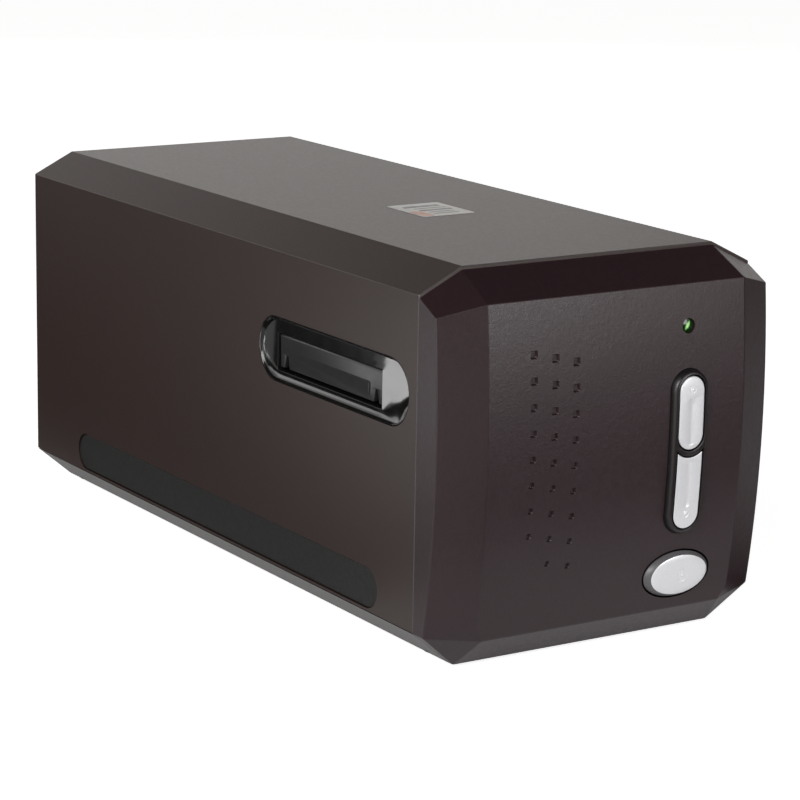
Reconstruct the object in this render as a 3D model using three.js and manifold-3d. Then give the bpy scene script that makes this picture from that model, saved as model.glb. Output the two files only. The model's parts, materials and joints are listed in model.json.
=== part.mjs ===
import * as THREE from "three";
import { mergeVertices } from "three/addons/utils/BufferGeometryUtils.js";
import { ConvexGeometry } from "three/addons/geometries/ConvexGeometry.js";
import Module from "manifold-3d";

// Scanner for film strips and slides. Millimetres, +X right, +Y to the back, +Z up, front at -Y,
// origin on the table under the middle of the part's box.

const wasm = await Module();
wasm.setup();

// Housing
const bodyWidth = 120;
const bodyLength = 272;
const bodyHeight = 121;
const footHeight = 1.8;
const topChamferWidth = 14.6;
const topChamferHeight = 7.2;
const bottomChamferWidth = 13;
const bottomChamferHeight = 11;
const housingWall = 2.4;
const seamGap = 0.4;
const fitGap = 0.25;
const runningGap = 0.3;
const overrun = 1;

// Facets: half the sides of a circle, for large and for small radii
const roundSteps = 8;
const fineSteps = 5;
const smallRadius = 3;
const wireStepsPerTurn = 8;
const wireSides = 5;

// Cover and base details
const ribThickness = 1.6;
const ribHeight = 4;
const ribCount = 3;
const tongueWall = 1.6;
const tongueLength = 5;
const lipThickness = 1.6;
const lipHeight = 4.5;
const lipRoot = 1.8;
const lipRelief = 0.3;
const lipFromTongue = 1;
const ledgeDepth = 2;
const screwFromSide = 17;
const screwFromEnd = 11.6;
const screwHoleRadius = 1.7;
const screwHeadRadius = 3.4;
const screwPostRadius = 5;
const screwPostHeight = 10;
const standoffFromEnd = 20;
const lugHeight = 5;
const lugHalfWidth = 5;
const footRadius = 8;
const footSeatDepth = 0.7;
const footFromSide = 26;
const footFromEnd = 30;

// Front bezel
const bezelDepth = 16.6;
const bezelWall = 3;
const bezelBandSetback = 6.6;
const bezelBandTopDrop = 12.5;
const bezelFootDepth = 1.9;
const panelFromSide = 13.7;
const panelTopDrop = 8.6;
const panelBottomRise = 9.5;
const panelCornerRise = 14.6;
const panelCornerCut = 2.6;
const panelRadius = 378;
const panelApexHeight = 73.4;
const panelArcSteps = 10;

// Dimples on the panel
const dimpleColumnCount = 3;
const dimpleCounts = [8, 9, 9];
const dimpleFromSide = 29.3;
const dimpleTopDrop = 24.5;
const dimpleBottomRise = 29.2;
const dimpleColumnPitch = 7.5;
const dimpleStagger = 1.75;
const dimpleTopSize = 2.3;
const dimpleBottomSize = 1.5;
const dimpleDepth = 0.9;

// Buttons and light
const buttonProud = 2.2;
const buttonTravel = 1;
const buttonFlange = 1.1;
const buttonFlangeRim = 0.9;
const buttonEdge = 0.5;
const buttonPlay = 0.45;
const guideDepth = 3.4;
const guideWall = 1.6;
const stemRadius = 1.6;
const surroundFromSide = 34.75;
const surroundTopDrop = 34.1;
const surroundBottomRise = 33.9;
const surroundWidth = 13.1;
const surroundBand = 2.05;
const surroundSlope = 1.2;
const surroundSteps = 32;
const scanButtonGap = 2.5;
const hollowReachShare = 0.87;
const lowerButtonExtra = 2.2;
const powerFromSide = 34.4;
const powerRise = 20.8;
const powerHoleWidth = 25.4;
const powerHoleHeight = 15.7;
const powerFlank = 1;
const powerBevelWidth = 2.2;
const powerBevelDrop = 0.5;
const lightFromSide = 34.9;
const lightTopDrop = 21.3;
const lightRadius = 2.1;
const lightSink = 0.4;
const lightDome = 0.4;
const lightShoulderShare = 0.7;

// Button board
const boardThickness = 1.6;
const buttonBoardSetback = 13.5;
const buttonBoardWidth = 28;
const buttonBoardMargin = 8;
const switchSize = 6;
const switchHeight = 3;
const boardPostRadius = 2.6;
const boardPostInset = 3.4;

// Film slot: the insert in the side wall, its dish, its mouth and the door behind it
const slotLength = 87.8;
const slotHeight = 20.8;
const slotFromParting = 4.5;
const slotCentreZ = 82.8;
const slotRimWidth = 1.1;
const slotRimSink = 0.2;
const slotFlangeWidth = 3;
const slotFlangeThickness = 1.6;
const mouthNearMargin = 15.6;
const mouthFarMargin = 9;
const mouthHeight = 11.8;
const mouthCentreZ = 81.7;
const dishDepth = 1.4;
const tunnelWall = 2;
const tunnelDepth = 8.5;
const doorSetback = 1.1;
const doorThickness = 1.6;
const doorSideGap = 0.5;
const doorBottomGap = 0.9;
const doorBarrelRadius = 0.95;
const doorPinRadius = 0.8;
const doorNotchWidth = 3.4;
const doorNotchHeight = 4;
const doorNotchFromEnd = 2.2;
const springWire = 0.4;
const springRadius = 1.25;
const springTurns = 2.5;
const springPitch = 0.75;
const springLeg = 4.5;

// Side strips
const stripFromFront = 37;
const stripFromBack = 34;
const stripHeight = 12.9;
const stripCentreZ = 20.15;
const stripRecess = 1.2;
const stripThickness = 0.8;

// Rear panel and sockets
const rearRecess = 1.2;
const rearThickness = 2.2;
const usbX = -18;
const usbZ = 33;
const usbWidth = 12;
const usbHeight = 11;
const usbWall = 0.8;
const usbTongueWidth = 5.6;
const usbTongueHeight = 3.2;
const usbTongueRecess = 1.2;
const jackX = 16;
const jackZ = 33;
const jackBodySize = 10;
const jackBore = 3.2;
const jackPinRadius = 1;
const jackPinRecess = 1;
const socketBack = 2.5;
const securitySlotFromSide = 18;
const securitySlotWidth = 7;
const securitySlotHeight = 3;

// Main board, standing behind the rear panel
const mainBoardSetback = 20;
const mainBoardFromSide = 15;
const mainBoardBottom = 14;
const mainBoardHeight = 70;
const chipSize = 16;
const chipHeight = 1.8;
const chipSpacing = 24;
const capacitorRadius = 4;
const capacitorHeight = 10;

// Film channel across the housing
const channelWall = 2;
const channelPlay = 0.4;
const apertureDepth = 30;

// Detent under the channel
const detentFromEnd = 17.25;
const detentFromEdge = 6;
const detentRadius = 2;
const detentProud = 1.2;
const detentShoulderShare = 0.7;
const detentFlangeRadius = 3;
const detentFlange = 1;
const detentCupWall = 1.2;
const detentCupDepth = 7;
const detentSpringRadius = 2;
const detentSpringTurns = 5;

// Scan frame
const frameFromSide = 10;
const frameFloorZ = 8;
const frameFloor = 2.5;
const frameWall = 3;
const frameWallHeight = 28;
const frameFromParting = 18.3;
const frameFromBoard = 5.1;
const driveBayLength = 42;
const rodRadius = 3;
const rodFromBracket = 6.4;
const rodHeight = 28;
const rodSeatDepth = 2;
const filmPostWidth = 3.6;
const filmPostLength = 6;
const bracketThickness = 2;

// Optics carriage
const travel = 26;
const carriageFromRod = 4;
const carriageBottom = 35;
const carriageHeight = 28;
const carriageWall = 2;
const carriageFrontReach = 16;
const carriageFromRail = 6;
const lugLength = 14;
const lugWall = 2.4;
const lidThickness = 2;
const lightWindowMargin = 6;
const lightWindowLength = 9;
const mirrorMargin = 4;
const mirrorLength = 26;
const mirrorThickness = 2;
const lensFromBack = 58;
const lensLength = 24;
const lensRadius = 9;
const lensBore = 6;
const lensEndRadius = 7.8;
const lensEndLength = 3.6;
const lensShoulder = 1.2;
const lensThickness = 4;
const lensGlassSteps = 4;
const saddleWall = 4;
const saddleLength = 14;
const sensorMargin = 6.5;
const sensorHeight = 7;
const lampPostWidth = 24;
const lampPostDepth = 6;
const lampClearance = 5.75;
const lampHeight = 11;
const lampWall = 2;
const lampReach = 9;
const lampBoardThickness = 1.2;
const diffuserThickness = 1.6;

// Drive
const pulleyRadius = 6;
const pulleyWidth = 5;
const pulleyRim = 1.6;
const pulleyRimThickness = 0.8;
const beltFromFrameSide = 8;
const beltWidth = 4.4;
const beltThickness = 1.2;
const gearModule = 0.8;
const gearTeeth = 30;
const pinionTeeth = 12;
const gearWidth = 3.4;
const toothBacklash = 0.2;
const pressureAngle = 20;
const toothTipShare = 0.9;
const toothRootShare = 1.2;
const gearFromRail = 20;
const gearZ = 25;
const pinionRise = 13.5;
const idlerFromFront = 11;
const axleRadius = 1.5;
const axleProud = 1.4;
const motorRadius = 14;
const motorLength = 20;
const motorEarRadius = 3.5;
const motorEarReach = 17;
const motorShaftRadius = 1;
const motorBossRadius = 4;
const motorEarThickness = 1;

// Ribbon cable
const ribbonX = 12;
const ribbonWidth = 12;
const ribbonThickness = 0.6;
const ribbonZ = 6.6;
const ribbonEndHeight = 24;
const ribbonDrop = 3;

// Places worked out from the sizes above
const halfWidth = bodyWidth / 2;
const panelY = (buttonProud - bodyLength) / 2;
const backY = panelY + bodyLength;
const partingY = panelY + bezelDepth;
const sideBottomZ = footHeight + bottomChamferHeight;
const sideTopZ = bodyHeight - topChamferHeight;
const panelTopZ = bodyHeight - panelTopDrop;
const panelBottomZ = footHeight + panelBottomRise;
const floorTopZ = footHeight + housingWall;
const panelWidth = bodyWidth - 2 * panelFromSide;
const surroundX = halfWidth - surroundFromSide;
const surroundTopZ = bodyHeight - surroundTopDrop;
const surroundBottomZ = footHeight + surroundBottomRise;
const surroundZ = (surroundTopZ + surroundBottomZ) / 2;
const surroundHeight = surroundTopZ - surroundBottomZ;
const upperButtonHeight = (surroundHeight - 2 * surroundBand - lowerButtonExtra) / 2;
const powerX = halfWidth - powerFromSide;
const powerZ = footHeight + powerRise;
const lightX = halfWidth - lightFromSide;
const lightZ = bodyHeight - lightTopDrop;
const dimpleFirstX = dimpleFromSide - halfWidth;
const dimpleFirstZ = bodyHeight - dimpleTopDrop;
const dimpleLastZ = footHeight + dimpleBottomRise;
const dimpleDrop = dimpleFirstZ - (dimpleColumnCount - 1) * dimpleStagger - dimpleLastZ;
const dimpleRowPitch = dimpleDrop / (Math.max(...dimpleCounts) - 1);
const stripLength = bodyLength - stripFromFront - stripFromBack;
const stripY = panelY + stripFromFront + stripLength / 2;
const securitySlotX = securitySlotFromSide - halfWidth;
const mainBoardWidth = bodyWidth - 2 * mainBoardFromSide;
const slotY = partingY + slotFromParting + slotLength / 2;
const mouthY = slotY + (mouthNearMargin - mouthFarMargin) / 2;
const mouthLength = slotLength - mouthNearMargin - mouthFarMargin;
const mouthTopZ = mouthCentreZ + mouthHeight / 2;
const mouthBottomZ = mouthCentreZ - mouthHeight / 2;
const doorDepth = dishDepth + doorSetback;
const hingeDepth = doorDepth + doorThickness / 2;
const hingeZ = mouthTopZ - runningGap - doorBarrelRadius;
const pinHoleRadius = doorPinRadius + runningGap;
const springLength = springTurns * springPitch + springWire;
const doorPinLength = tunnelWall + springLength + 3 * springWire;
const switchTopSetback = guideDepth + runningGap + buttonFlange;
const mainBoardY = backY - mainBoardSetback;
const rearPanelY = backY - rearRecess - rearThickness;
const channelEnd = halfWidth - tunnelDepth - fitGap;
const channelFloorZ = mouthBottomZ - channelPlay;
const channelRoofZ = mouthTopZ + channelPlay;
const channelHalf = mouthLength / 2 + channelPlay;
const detentX = channelEnd - detentFromEnd;
const lampBottom = channelRoofZ + fitGap + channelWall + lampClearance;
const frameWidth = bodyWidth - 2 * frameFromSide;
const frameFront = partingY + frameFromParting;
const frameBack = mainBoardY - frameFromBoard;
const railFront = frameFront + frameWall;
const railBack = frameBack - driveBayLength;
const beltPlaneX = frameWidth / 2 - beltFromFrameSide;
const bracketX = beltPlaneX - pulleyWidth / 2 - pulleyRimThickness - runningGap - bracketThickness;
const rodSpacing = 2 * (bracketX - rodFromBracket);
const carriageWidth = rodSpacing - 2 * carriageFromRod;
const carriageBack = railBack - carriageFromRail;
const lightWindowWidth = carriageWidth - 2 * lightWindowMargin;
const mirrorWidth = carriageWidth - 2 * mirrorMargin;
const sensorLength = carriageWidth - 2 * sensorMargin;
const lensY = carriageBack - lensFromBack;
const saddleWidth = 2 * (lensRadius + saddleWall);
const gearY = railBack + gearFromRail;
const idlerY = frameFront + idlerFromFront;
const scanLineY = mouthY + travel / 2;
const carriageTop = carriageBottom + carriageHeight;
const opticalAxisZ = carriageBottom + carriageHeight / 2;
const gearX = beltPlaneX + pulleyWidth / 2 + pulleyRimThickness;
const gearRadius = gearModule * gearTeeth / 2;
const pinionRadius = gearModule * pinionTeeth / 2;
const pinionY = gearY + Math.sqrt((gearRadius + pinionRadius) ** 2 - pinionRise ** 2);
const pinionZ = gearZ + pinionRise;

// Solids and meshes

function solidOf(geometry) {
  geometry.deleteAttribute("normal");
  geometry.deleteAttribute("uv");
  const merged = mergeVertices(geometry);
  const vertProperties = new Float32Array(merged.attributes.position.array);
  const triVerts = new Uint32Array(merged.index.array);
  return new wasm.Manifold(new wasm.Mesh({ numProp: 3, vertProperties, triVerts }));
}

function geometryOf(solid) {
  const mesh = solid.getMesh();
  const geometry = new THREE.BufferGeometry();
  geometry.setAttribute("position", new THREE.BufferAttribute(new Float32Array(mesh.vertProperties), 3));
  geometry.setIndex(new THREE.BufferAttribute(new Uint32Array(mesh.triVerts), 1));
  const facets = geometry.toNonIndexed();
  facets.computeVertexNormals();
  return facets;
}

function joined(solids) {
  return solids.reduce((whole, next) => whole.add(next));
}

function without(solid, cutters) {
  return cutters.reduce((rest, cutter) => rest.subtract(cutter), solid);
}

// A block between two opposite corners, given as low and high values along each axis.
function block(x0, x1, y0, y1, z0, z1) {
  const geometry = new THREE.BoxGeometry(x1 - x0, y1 - y0, z1 - z0);
  geometry.translate((x0 + x1) / 2, (y0 + y1) / 2, (z0 + z1) / 2);
  return solidOf(geometry);
}

function extruded(shape, depth, steps) {
  return new THREE.ExtrudeGeometry(shape, { depth, bevelEnabled: false, curveSegments: steps });
}

// A shape drawn in x and z, carried along y.
function alongY(shape, y0, y1, steps = roundSteps) {
  const geometry = extruded(shape, y1 - y0, steps);
  geometry.rotateX(Math.PI / 2);
  geometry.translate(0, y1, 0);
  return geometry;
}

// A shape drawn in y and z, carried along x.
function alongX(shape, x0, x1, steps = roundSteps) {
  const geometry = extruded(shape, x1 - x0, steps);
  geometry.rotateX(Math.PI / 2);
  geometry.rotateZ(Math.PI / 2);
  geometry.translate(x0, 0, 0);
  return geometry;
}

// A shape drawn in x and y, carried along z.
function alongZ(shape, z0, z1, steps = roundSteps) {
  const geometry = extruded(shape, z1 - z0, steps);
  geometry.translate(0, 0, z0);
  return geometry;
}

// The same for a side wall: depths are measured inwards from the side plane; side is -1 on the left.
function throughSide(shape, side, depth0, depth1, steps = roundSteps) {
  const outer = side * (halfWidth - depth0);
  const inner = side * (halfWidth - depth1);
  return solidOf(alongX(shape, Math.min(outer, inner), Math.max(outer, inner), steps));
}

function disc(a, b, radius) {
  const shape = new THREE.Shape();
  shape.absarc(a, b, radius, 0, 2 * Math.PI);
  return shape;
}

function polygon(points) {
  return new THREE.Shape(points);
}

function rectangle(a, b, width, height) {
  return polygon([
    new THREE.Vector2(a - width / 2, b - height / 2),
    new THREE.Vector2(a + width / 2, b - height / 2),
    new THREE.Vector2(a + width / 2, b + height / 2),
    new THREE.Vector2(a - width / 2, b + height / 2),
  ]);
}

// A slot shape with round ends, its long side along the first or the second direction.
function obround(a, b, width, height) {
  const shape = new THREE.Shape();
  const radius = Math.min(width, height) / 2;
  const reachA = width / 2 - radius;
  const reachB = height / 2 - radius;
  const start = reachA > reachB ? -Math.PI / 2 : 0;
  shape.absarc(a + reachA, b + reachB, radius, start, start + Math.PI);
  shape.absarc(a - reachA, b - reachB, radius, start + Math.PI, start + 2 * Math.PI);
  shape.closePath();
  return shape;
}

// A closed convex outline, counter-clockwise, moved inwards by one distance on every side.
function insetOutline(points, inset) {
  return points.map((point, index) => {
    const before = points[(index + points.length - 1) % points.length];
    const after = points[(index + 1) % points.length];
    const incoming = point.clone().sub(before).normalize();
    const outgoing = after.clone().sub(point).normalize();
    const incomingNormal = new THREE.Vector2(-incoming.y, incoming.x);
    const bisector = incomingNormal.clone().add(new THREE.Vector2(-outgoing.y, outgoing.x)).normalize();
    return point.clone().addScaledVector(bisector, inset / bisector.dot(incomingNormal));
  });
}

function stepsFor(radius) {
  return radius < smallRadius ? fineSteps : roundSteps;
}

function rodX(y, z, radius, x0, x1) {
  return solidOf(alongX(disc(y, z, radius), x0, x1, stepsFor(radius)));
}

function rodY(x, z, radius, y0, y1) {
  return solidOf(alongY(disc(x, z, radius), y0, y1, stepsFor(radius)));
}

function rodZ(x, y, radius, z0, z1) {
  return solidOf(alongZ(disc(x, y, radius), z0, z1, stepsFor(radius)));
}

// A wire along a curve, with a small polygon as its section.
function wire(curve, radius, steps) {
  const section = new THREE.Shape();
  for (let index = 0; index < wireSides; index += 1) {
    const angle = 2 * Math.PI * index / wireSides;
    const place = [radius * Math.cos(angle), radius * Math.sin(angle)];
    if (index === 0) {
      section.moveTo(...place);
    } else {
      section.lineTo(...place);
    }
  }
  return new THREE.ExtrudeGeometry(section, { steps, extrudePath: curve, bevelEnabled: false });
}

// Housing: one eight-sided tube, cut at the seam into the cover and the base

function housingOutline() {
  const bottomX = halfWidth - bottomChamferWidth;
  const topX = halfWidth - topChamferWidth;
  return [
    new THREE.Vector2(-bottomX, footHeight),
    new THREE.Vector2(bottomX, footHeight),
    new THREE.Vector2(halfWidth, sideBottomZ),
    new THREE.Vector2(halfWidth, sideTopZ),
    new THREE.Vector2(topX, bodyHeight),
    new THREE.Vector2(-topX, bodyHeight),
    new THREE.Vector2(-halfWidth, sideTopZ),
    new THREE.Vector2(-halfWidth, sideBottomZ),
  ];
}

function housingRing(inset, wall, y0, y1) {
  const shape = polygon(insetOutline(housingOutline(), inset));
  shape.holes.push(new THREE.Path(insetOutline(housingOutline(), inset + wall)));
  return solidOf(alongY(shape, y0, y1));
}

function housingTube() {
  const tube = housingRing(0, housingWall, partingY + seamGap, backY);
  const ledgeEnd = rearPanelY - fitGap;
  const ledge = housingRing(housingWall - fitGap, ledgeDepth + fitGap, ledgeEnd - ledgeDepth, ledgeEnd);
  return tube.add(ledge);
}

function aboveSeam() {
  const bottom = sideBottomZ + seamGap / 2;
  return block(-bodyWidth, bodyWidth, -bodyLength, bodyLength, bottom, bodyHeight + overrun);
}

function belowSeam() {
  return block(-bodyWidth, bodyWidth, -bodyLength, bodyLength, -overrun, sideBottomZ - seamGap / 2);
}

// The four screws sit near the corners of the base.
function screwPlaces() {
  const x = halfWidth - screwFromSide;
  const places = [];
  for (const y of [partingY + screwFromEnd, backY - screwFromEnd]) {
    places.push([-x, y], [x, y]);
  }
  return places;
}

function upperCover() {
  const parts = [housingTube().intersect(aboveSeam())];
  const innerTop = bodyHeight - housingWall;
  const ribHalf = halfWidth - topChamferWidth;
  for (let index = 1; index <= ribCount; index += 1) {
    const y = partingY + (backY - partingY) * index / (ribCount + 1);
    parts.push(block(-ribHalf, ribHalf, y, y + ribThickness, innerTop - ribHeight, innerTop + fitGap));
  }
  const lugBottom = footHeight + screwPostHeight + housingWall + fitGap;
  for (const [x, y] of screwPlaces()) {
    const side = Math.sign(x);
    const tip = x - side * lugHalfWidth;
    const root = side * (halfWidth - housingWall / 2);
    const lugBase = Math.max(lugBottom, sideBottomZ + lipHeight + fitGap);
    const lug = block(
      Math.min(tip, root), Math.max(tip, root),
      y - lugHalfWidth, y + lugHalfWidth,
      lugBase, lugBase + lugHeight,
    );
    parts.push(without(lug, [rodZ(x, y, screwHoleRadius, lugBase - overrun, lugBase + lugHeight / 2)]));
  }
  const innerHalf = halfWidth - housingWall + lipRelief;
  const cutters = [block(-innerHalf, innerHalf, partingY, backY, sideBottomZ, sideBottomZ + lipHeight)];
  for (const side of [-1, 1]) {
    const slot = obround(slotY, slotCentreZ, slotLength, slotHeight);
    cutters.push(throughSide(slot, side, -overrun, housingWall + overrun));
    const strip = obround(stripY, stripCentreZ, stripLength, stripHeight);
    cutters.push(throughSide(strip, side, -overrun, stripRecess));
  }
  return without(joined(parts), cutters);
}

function feetPlaces() {
  const x = halfWidth - footFromSide;
  return [
    ["foot_front_left", -x, partingY + footFromEnd],
    ["foot_front_right", x, partingY + footFromEnd],
    ["foot_back_left", -x, backY - footFromEnd],
    ["foot_back_right", x, backY - footFromEnd],
  ];
}

function baseTray() {
  const parts = [housingTube().intersect(belowSeam())];
  const lipOuter = halfWidth - housingWall - fitGap;
  const lipFront = partingY + tongueLength + lipFromTongue;
  const lipBack = rearPanelY - ledgeDepth - lipFromTongue;
  for (const side of [-1, 1]) {
    const inner = side * (lipOuter - lipThickness);
    const outer = side * lipOuter;
    parts.push(block(
      Math.min(inner, outer), Math.max(inner, outer),
      lipFront, lipBack,
      sideBottomZ - lipRoot, sideBottomZ + lipHeight,
    ));
  }
  const postTop = floorTopZ + screwPostHeight;
  const cutters = [];
  for (const [x, y] of screwPlaces()) {
    parts.push(rodZ(x, y, screwPostRadius, footHeight, postTop));
    cutters.push(rodZ(x, y, screwHoleRadius, 0, postTop + overrun));
    cutters.push(rodZ(x, y, screwHeadRadius, 0, postTop - housingWall));
  }
  for (const [x, y] of standoffPlaces()) {
    parts.push(rodZ(x, y, screwPostRadius, footHeight, frameFloorZ));
  }
  for (const [, x, y] of feetPlaces()) {
    cutters.push(rodZ(x, y, footRadius + fitGap, 0, footHeight + footSeatDepth));
  }
  return without(joined(parts), cutters);
}

function foot(x, y) {
  const profile = [
    new THREE.Vector2(0, 0),
    new THREE.Vector2(footRadius - footHeight / 2, 0),
    new THREE.Vector2(footRadius, footHeight / 2),
    new THREE.Vector2(footRadius, footHeight + footSeatDepth),
    new THREE.Vector2(0, footHeight + footSeatDepth),
  ];
  const geometry = new THREE.LatheGeometry(profile, 2 * roundSteps);
  geometry.rotateX(Math.PI / 2);
  geometry.translate(x, y, 0);
  return solidOf(geometry);
}

// Front bezel: facets that run from the housing's outline to the bulged panel

function panelArc(z) {
  return (z - panelApexHeight) ** 2 / (2 * panelRadius);
}

function bezelHull(inset, rearReach) {
  const points = [];
  const add = (x, y, z) => points.push(new THREE.Vector3(x, y, z), new THREE.Vector3(-x, y, z));
  for (const corner of insetOutline(housingOutline(), inset)) {
    if (corner.x > 0) {
      add(corner.x, partingY + rearReach, corner.y);
    }
  }
  const bottomX = halfWidth - bottomChamferWidth;
  add(bottomX - inset, partingY - bezelFootDepth + inset, footHeight + inset);
  const bandTop = bodyHeight - bezelBandTopDrop - inset;
  const bandBottom = sideBottomZ + inset;
  const panelHalf = panelWidth / 2 - inset;
  const cornerZ = footHeight + panelCornerRise;
  for (let index = 0; index <= panelArcSteps; index += 1) {
    const bandZ = bandBottom + (bandTop - bandBottom) * index / panelArcSteps;
    add(halfWidth - inset, panelY + bezelBandSetback + panelArc(bandZ) + inset, bandZ);
    const panelZ = cornerZ + (panelTopZ - inset - cornerZ) * index / panelArcSteps;
    add(panelHalf, panelY + panelArc(panelZ) + inset, panelZ);
  }
  const lowZ = panelBottomZ + inset;
  add(panelHalf - panelCornerCut, panelY + panelArc(lowZ) + inset, lowZ);
  return solidOf(new ConvexGeometry(points));
}

// Bends a solid whose front lies at y = 0 so that it follows the bulged panel.
function ontoPanel(geometry) {
  const position = geometry.attributes.position;
  for (let index = 0; index < position.count; index += 1) {
    const bent = position.getY(index) + panelY + panelArc(position.getZ(index));
    position.setY(index, bent);
  }
  return geometry;
}

// The space between two depths behind the bulged panel, all across the bezel.
function panelSlab(depth0, depth1) {
  const front = [];
  const back = [];
  for (let index = 0; index <= panelArcSteps; index += 1) {
    const z = bodyHeight * index / panelArcSteps;
    front.push(new THREE.Vector2(panelY + panelArc(z) + depth0, z));
    back.unshift(new THREE.Vector2(panelY + panelArc(z) + depth1, z));
  }
  return solidOf(alongX(polygon([...front, ...back]), -halfWidth, halfWidth));
}

// A shape drawn in x and z, between two depths behind the panel.
function panelPrism(shape, depth0, depth1) {
  const column = alongY(shape, panelY + depth0 - overrun, panelY + panelArc(0) + depth1 + overrun);
  return solidOf(column).intersect(panelSlab(depth0, depth1));
}

function panelCutter(shape, depth) {
  return panelPrism(shape, -buttonProud - overrun, depth);
}

// A block that stands proud of the panel by the buttons' height, with a shoulder round its front.
function raisedBlock(shape, shoulderWidth, shoulderHeight, shoulderSteps, back) {
  const geometry = new THREE.ExtrudeGeometry(shape, {
    depth: back + buttonProud - shoulderHeight,
    bevelEnabled: true,
    bevelSize: shoulderWidth,
    bevelThickness: shoulderHeight,
    bevelSegments: shoulderSteps,
    curveSegments: roundSteps,
  });
  geometry.rotateX(Math.PI / 2);
  geometry.translate(0, back, 0);
  const trim = block(-bodyWidth, bodyWidth, -bodyLength, back, -bodyHeight, 2 * bodyHeight);
  return solidOf(ontoPanel(geometryOf(solidOf(geometry).intersect(trim))));
}

function dimpleCutters() {
  const cutters = [];
  for (let column = 0; column < dimpleColumnCount; column += 1) {
    const x = dimpleFirstX + column * dimpleColumnPitch;
    for (let row = 0; row < dimpleCounts[column]; row += 1) {
      const z = dimpleFirstZ - column * dimpleStagger - row * dimpleRowPitch;
      const size = dimpleTopSize + (dimpleBottomSize - dimpleTopSize) * row / (dimpleCounts[column] - 1);
      cutters.push(solidOf(ontoPanel(alongY(rectangle(x, z, size, size), -overrun, dimpleDepth))));
    }
  }
  return cutters;
}

function scanButtonColumn(margin) {
  return {
    width: surroundWidth - 2 * surroundBand + 2 * margin,
    top: surroundTopZ - surroundBand + margin,
    bottom: surroundBottomZ + surroundBand - margin,
  };
}

function upperButtonShape(margin) {
  const column = scanButtonColumn(margin);
  const height = upperButtonHeight + 2 * margin;
  return obround(surroundX, column.top - height / 2, column.width, height);
}

// The lower button has a round foot and a hollow top that follows the upper button's end.
function lowerButtonShape(margin) {
  const column = scanButtonColumn(margin);
  const radius = column.width / 2;
  const upperEnd = column.top - margin - upperButtonHeight;
  const hollowRadius = (column.width - 2 * margin) / 2 + scanButtonGap - margin;
  const hollowZ = upperEnd + (column.width - 2 * margin) / 2;
  const reach = Math.min(radius, hollowRadius * hollowReachShare);
  const dip = Math.sqrt(hollowRadius ** 2 - reach ** 2);
  const angle = Math.atan2(-dip, reach);
  const shape = new THREE.Shape();
  shape.absarc(surroundX, column.bottom + radius, radius, Math.PI, 2 * Math.PI);
  shape.lineTo(surroundX + radius, hollowZ - dip);
  shape.absarc(surroundX, hollowZ, hollowRadius, angle, -Math.PI - angle, true);
  shape.lineTo(surroundX - radius, hollowZ - dip);
  shape.closePath();
  return shape;
}

function powerEllipse(margin) {
  const shape = new THREE.Shape();
  const reachX = powerHoleWidth / 2 + margin;
  shape.absellipse(powerX, powerZ, reachX, powerHoleHeight / 2 + margin, 0, 2 * Math.PI);
  return shape;
}

// The raised surround: its outline has points all along, so that it follows the bulged panel.
function scanSurround() {
  const inset = 2 * surroundSlope;
  const outline = obround(surroundX, surroundZ, surroundWidth - inset, surroundHeight - inset);
  const shape = polygon(outline.getSpacedPoints(surroundSteps).slice(1));
  return raisedBlock(shape, surroundSlope, buttonProud, 1, bezelWall / 2);
}

function buttonBoardZ() {
  return [powerZ - buttonBoardMargin, lightZ + buttonBoardMargin];
}

function boardPostPlaces() {
  const [, high] = buttonBoardZ();
  const reach = buttonBoardWidth / 2 - boardPostInset;
  const betweenButtons = (powerZ + powerHoleHeight / 2 + surroundBottomZ) / 2;
  return [
    [surroundX - reach, betweenButtons],
    [surroundX + reach, betweenButtons],
    [surroundX - reach, high - boardPostInset],
    [surroundX + reach, high - boardPostInset],
  ];
}

function frontBezel() {
  const shell = bezelHull(0, 0).subtract(bezelHull(bezelWall, overrun));
  const tongueInset = housingWall + fitGap;
  const tongueFront = partingY - tongueLength / 2;
  const tongue = housingRing(tongueInset, tongueWall, tongueFront, partingY + tongueLength);
  const flangeRim = 2 * slotFlangeWidth + 2 * fitGap;
  const flangeRoom = obround(slotY, slotCentreZ, slotLength + flangeRim, slotHeight + flangeRim);
  const guideRim = 2 * guideWall;
  const scanGuide = obround(surroundX, surroundZ, surroundWidth + guideRim, surroundHeight + guideRim);
  const reliefs = [-1, 1].map((side) => throughSide(flangeRoom, side, 0, tunnelDepth));
  const parts = [shell, without(tongue, reliefs), scanSurround()];
  for (const shape of [scanGuide, powerEllipse(guideWall)]) {
    parts.push(panelPrism(shape, bezelWall / 2, guideDepth));
  }
  const boardFront = panelY + buttonBoardSetback;
  for (const [x, z] of boardPostPlaces()) {
    parts.push(rodY(x, z, boardPostRadius, panelY + panelArc(z) + bezelWall / 2, boardFront - fitGap));
  }
  const through = guideDepth + overrun;
  const cutters = [
    panelCutter(upperButtonShape(buttonPlay), through),
    panelCutter(lowerButtonShape(buttonPlay), through),
    panelCutter(powerEllipse(0), through),
    panelCutter(disc(lightX, lightZ, lightRadius + fitGap), through),
    ...dimpleCutters(),
  ];
  return without(joined(parts), cutters);
}

// A scan button: cap with a rounded edge, flange behind the guides, and stem to its switch.
function scanButton(shapeWith, stemZ, cutters) {
  const capBack = guideDepth + runningGap;
  const cap = raisedBlock(shapeWith(-buttonEdge), buttonEdge, buttonEdge, 2, capBack + buttonFlange / 2);
  const flange = panelPrism(shapeWith(buttonFlangeRim), capBack, capBack + buttonFlange);
  return without(joined([cap, flange, buttonStem(surroundX, stemZ)]), cutters);
}

function buttonStem(x, z) {
  const start = panelY + panelArc(z) + switchTopSetback - buttonFlange / 2;
  return rodY(x, z, stemRadius, start, switchTop() - buttonTravel - runningGap);
}

function switchTop() {
  return panelY + buttonBoardSetback - switchHeight;
}

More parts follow.
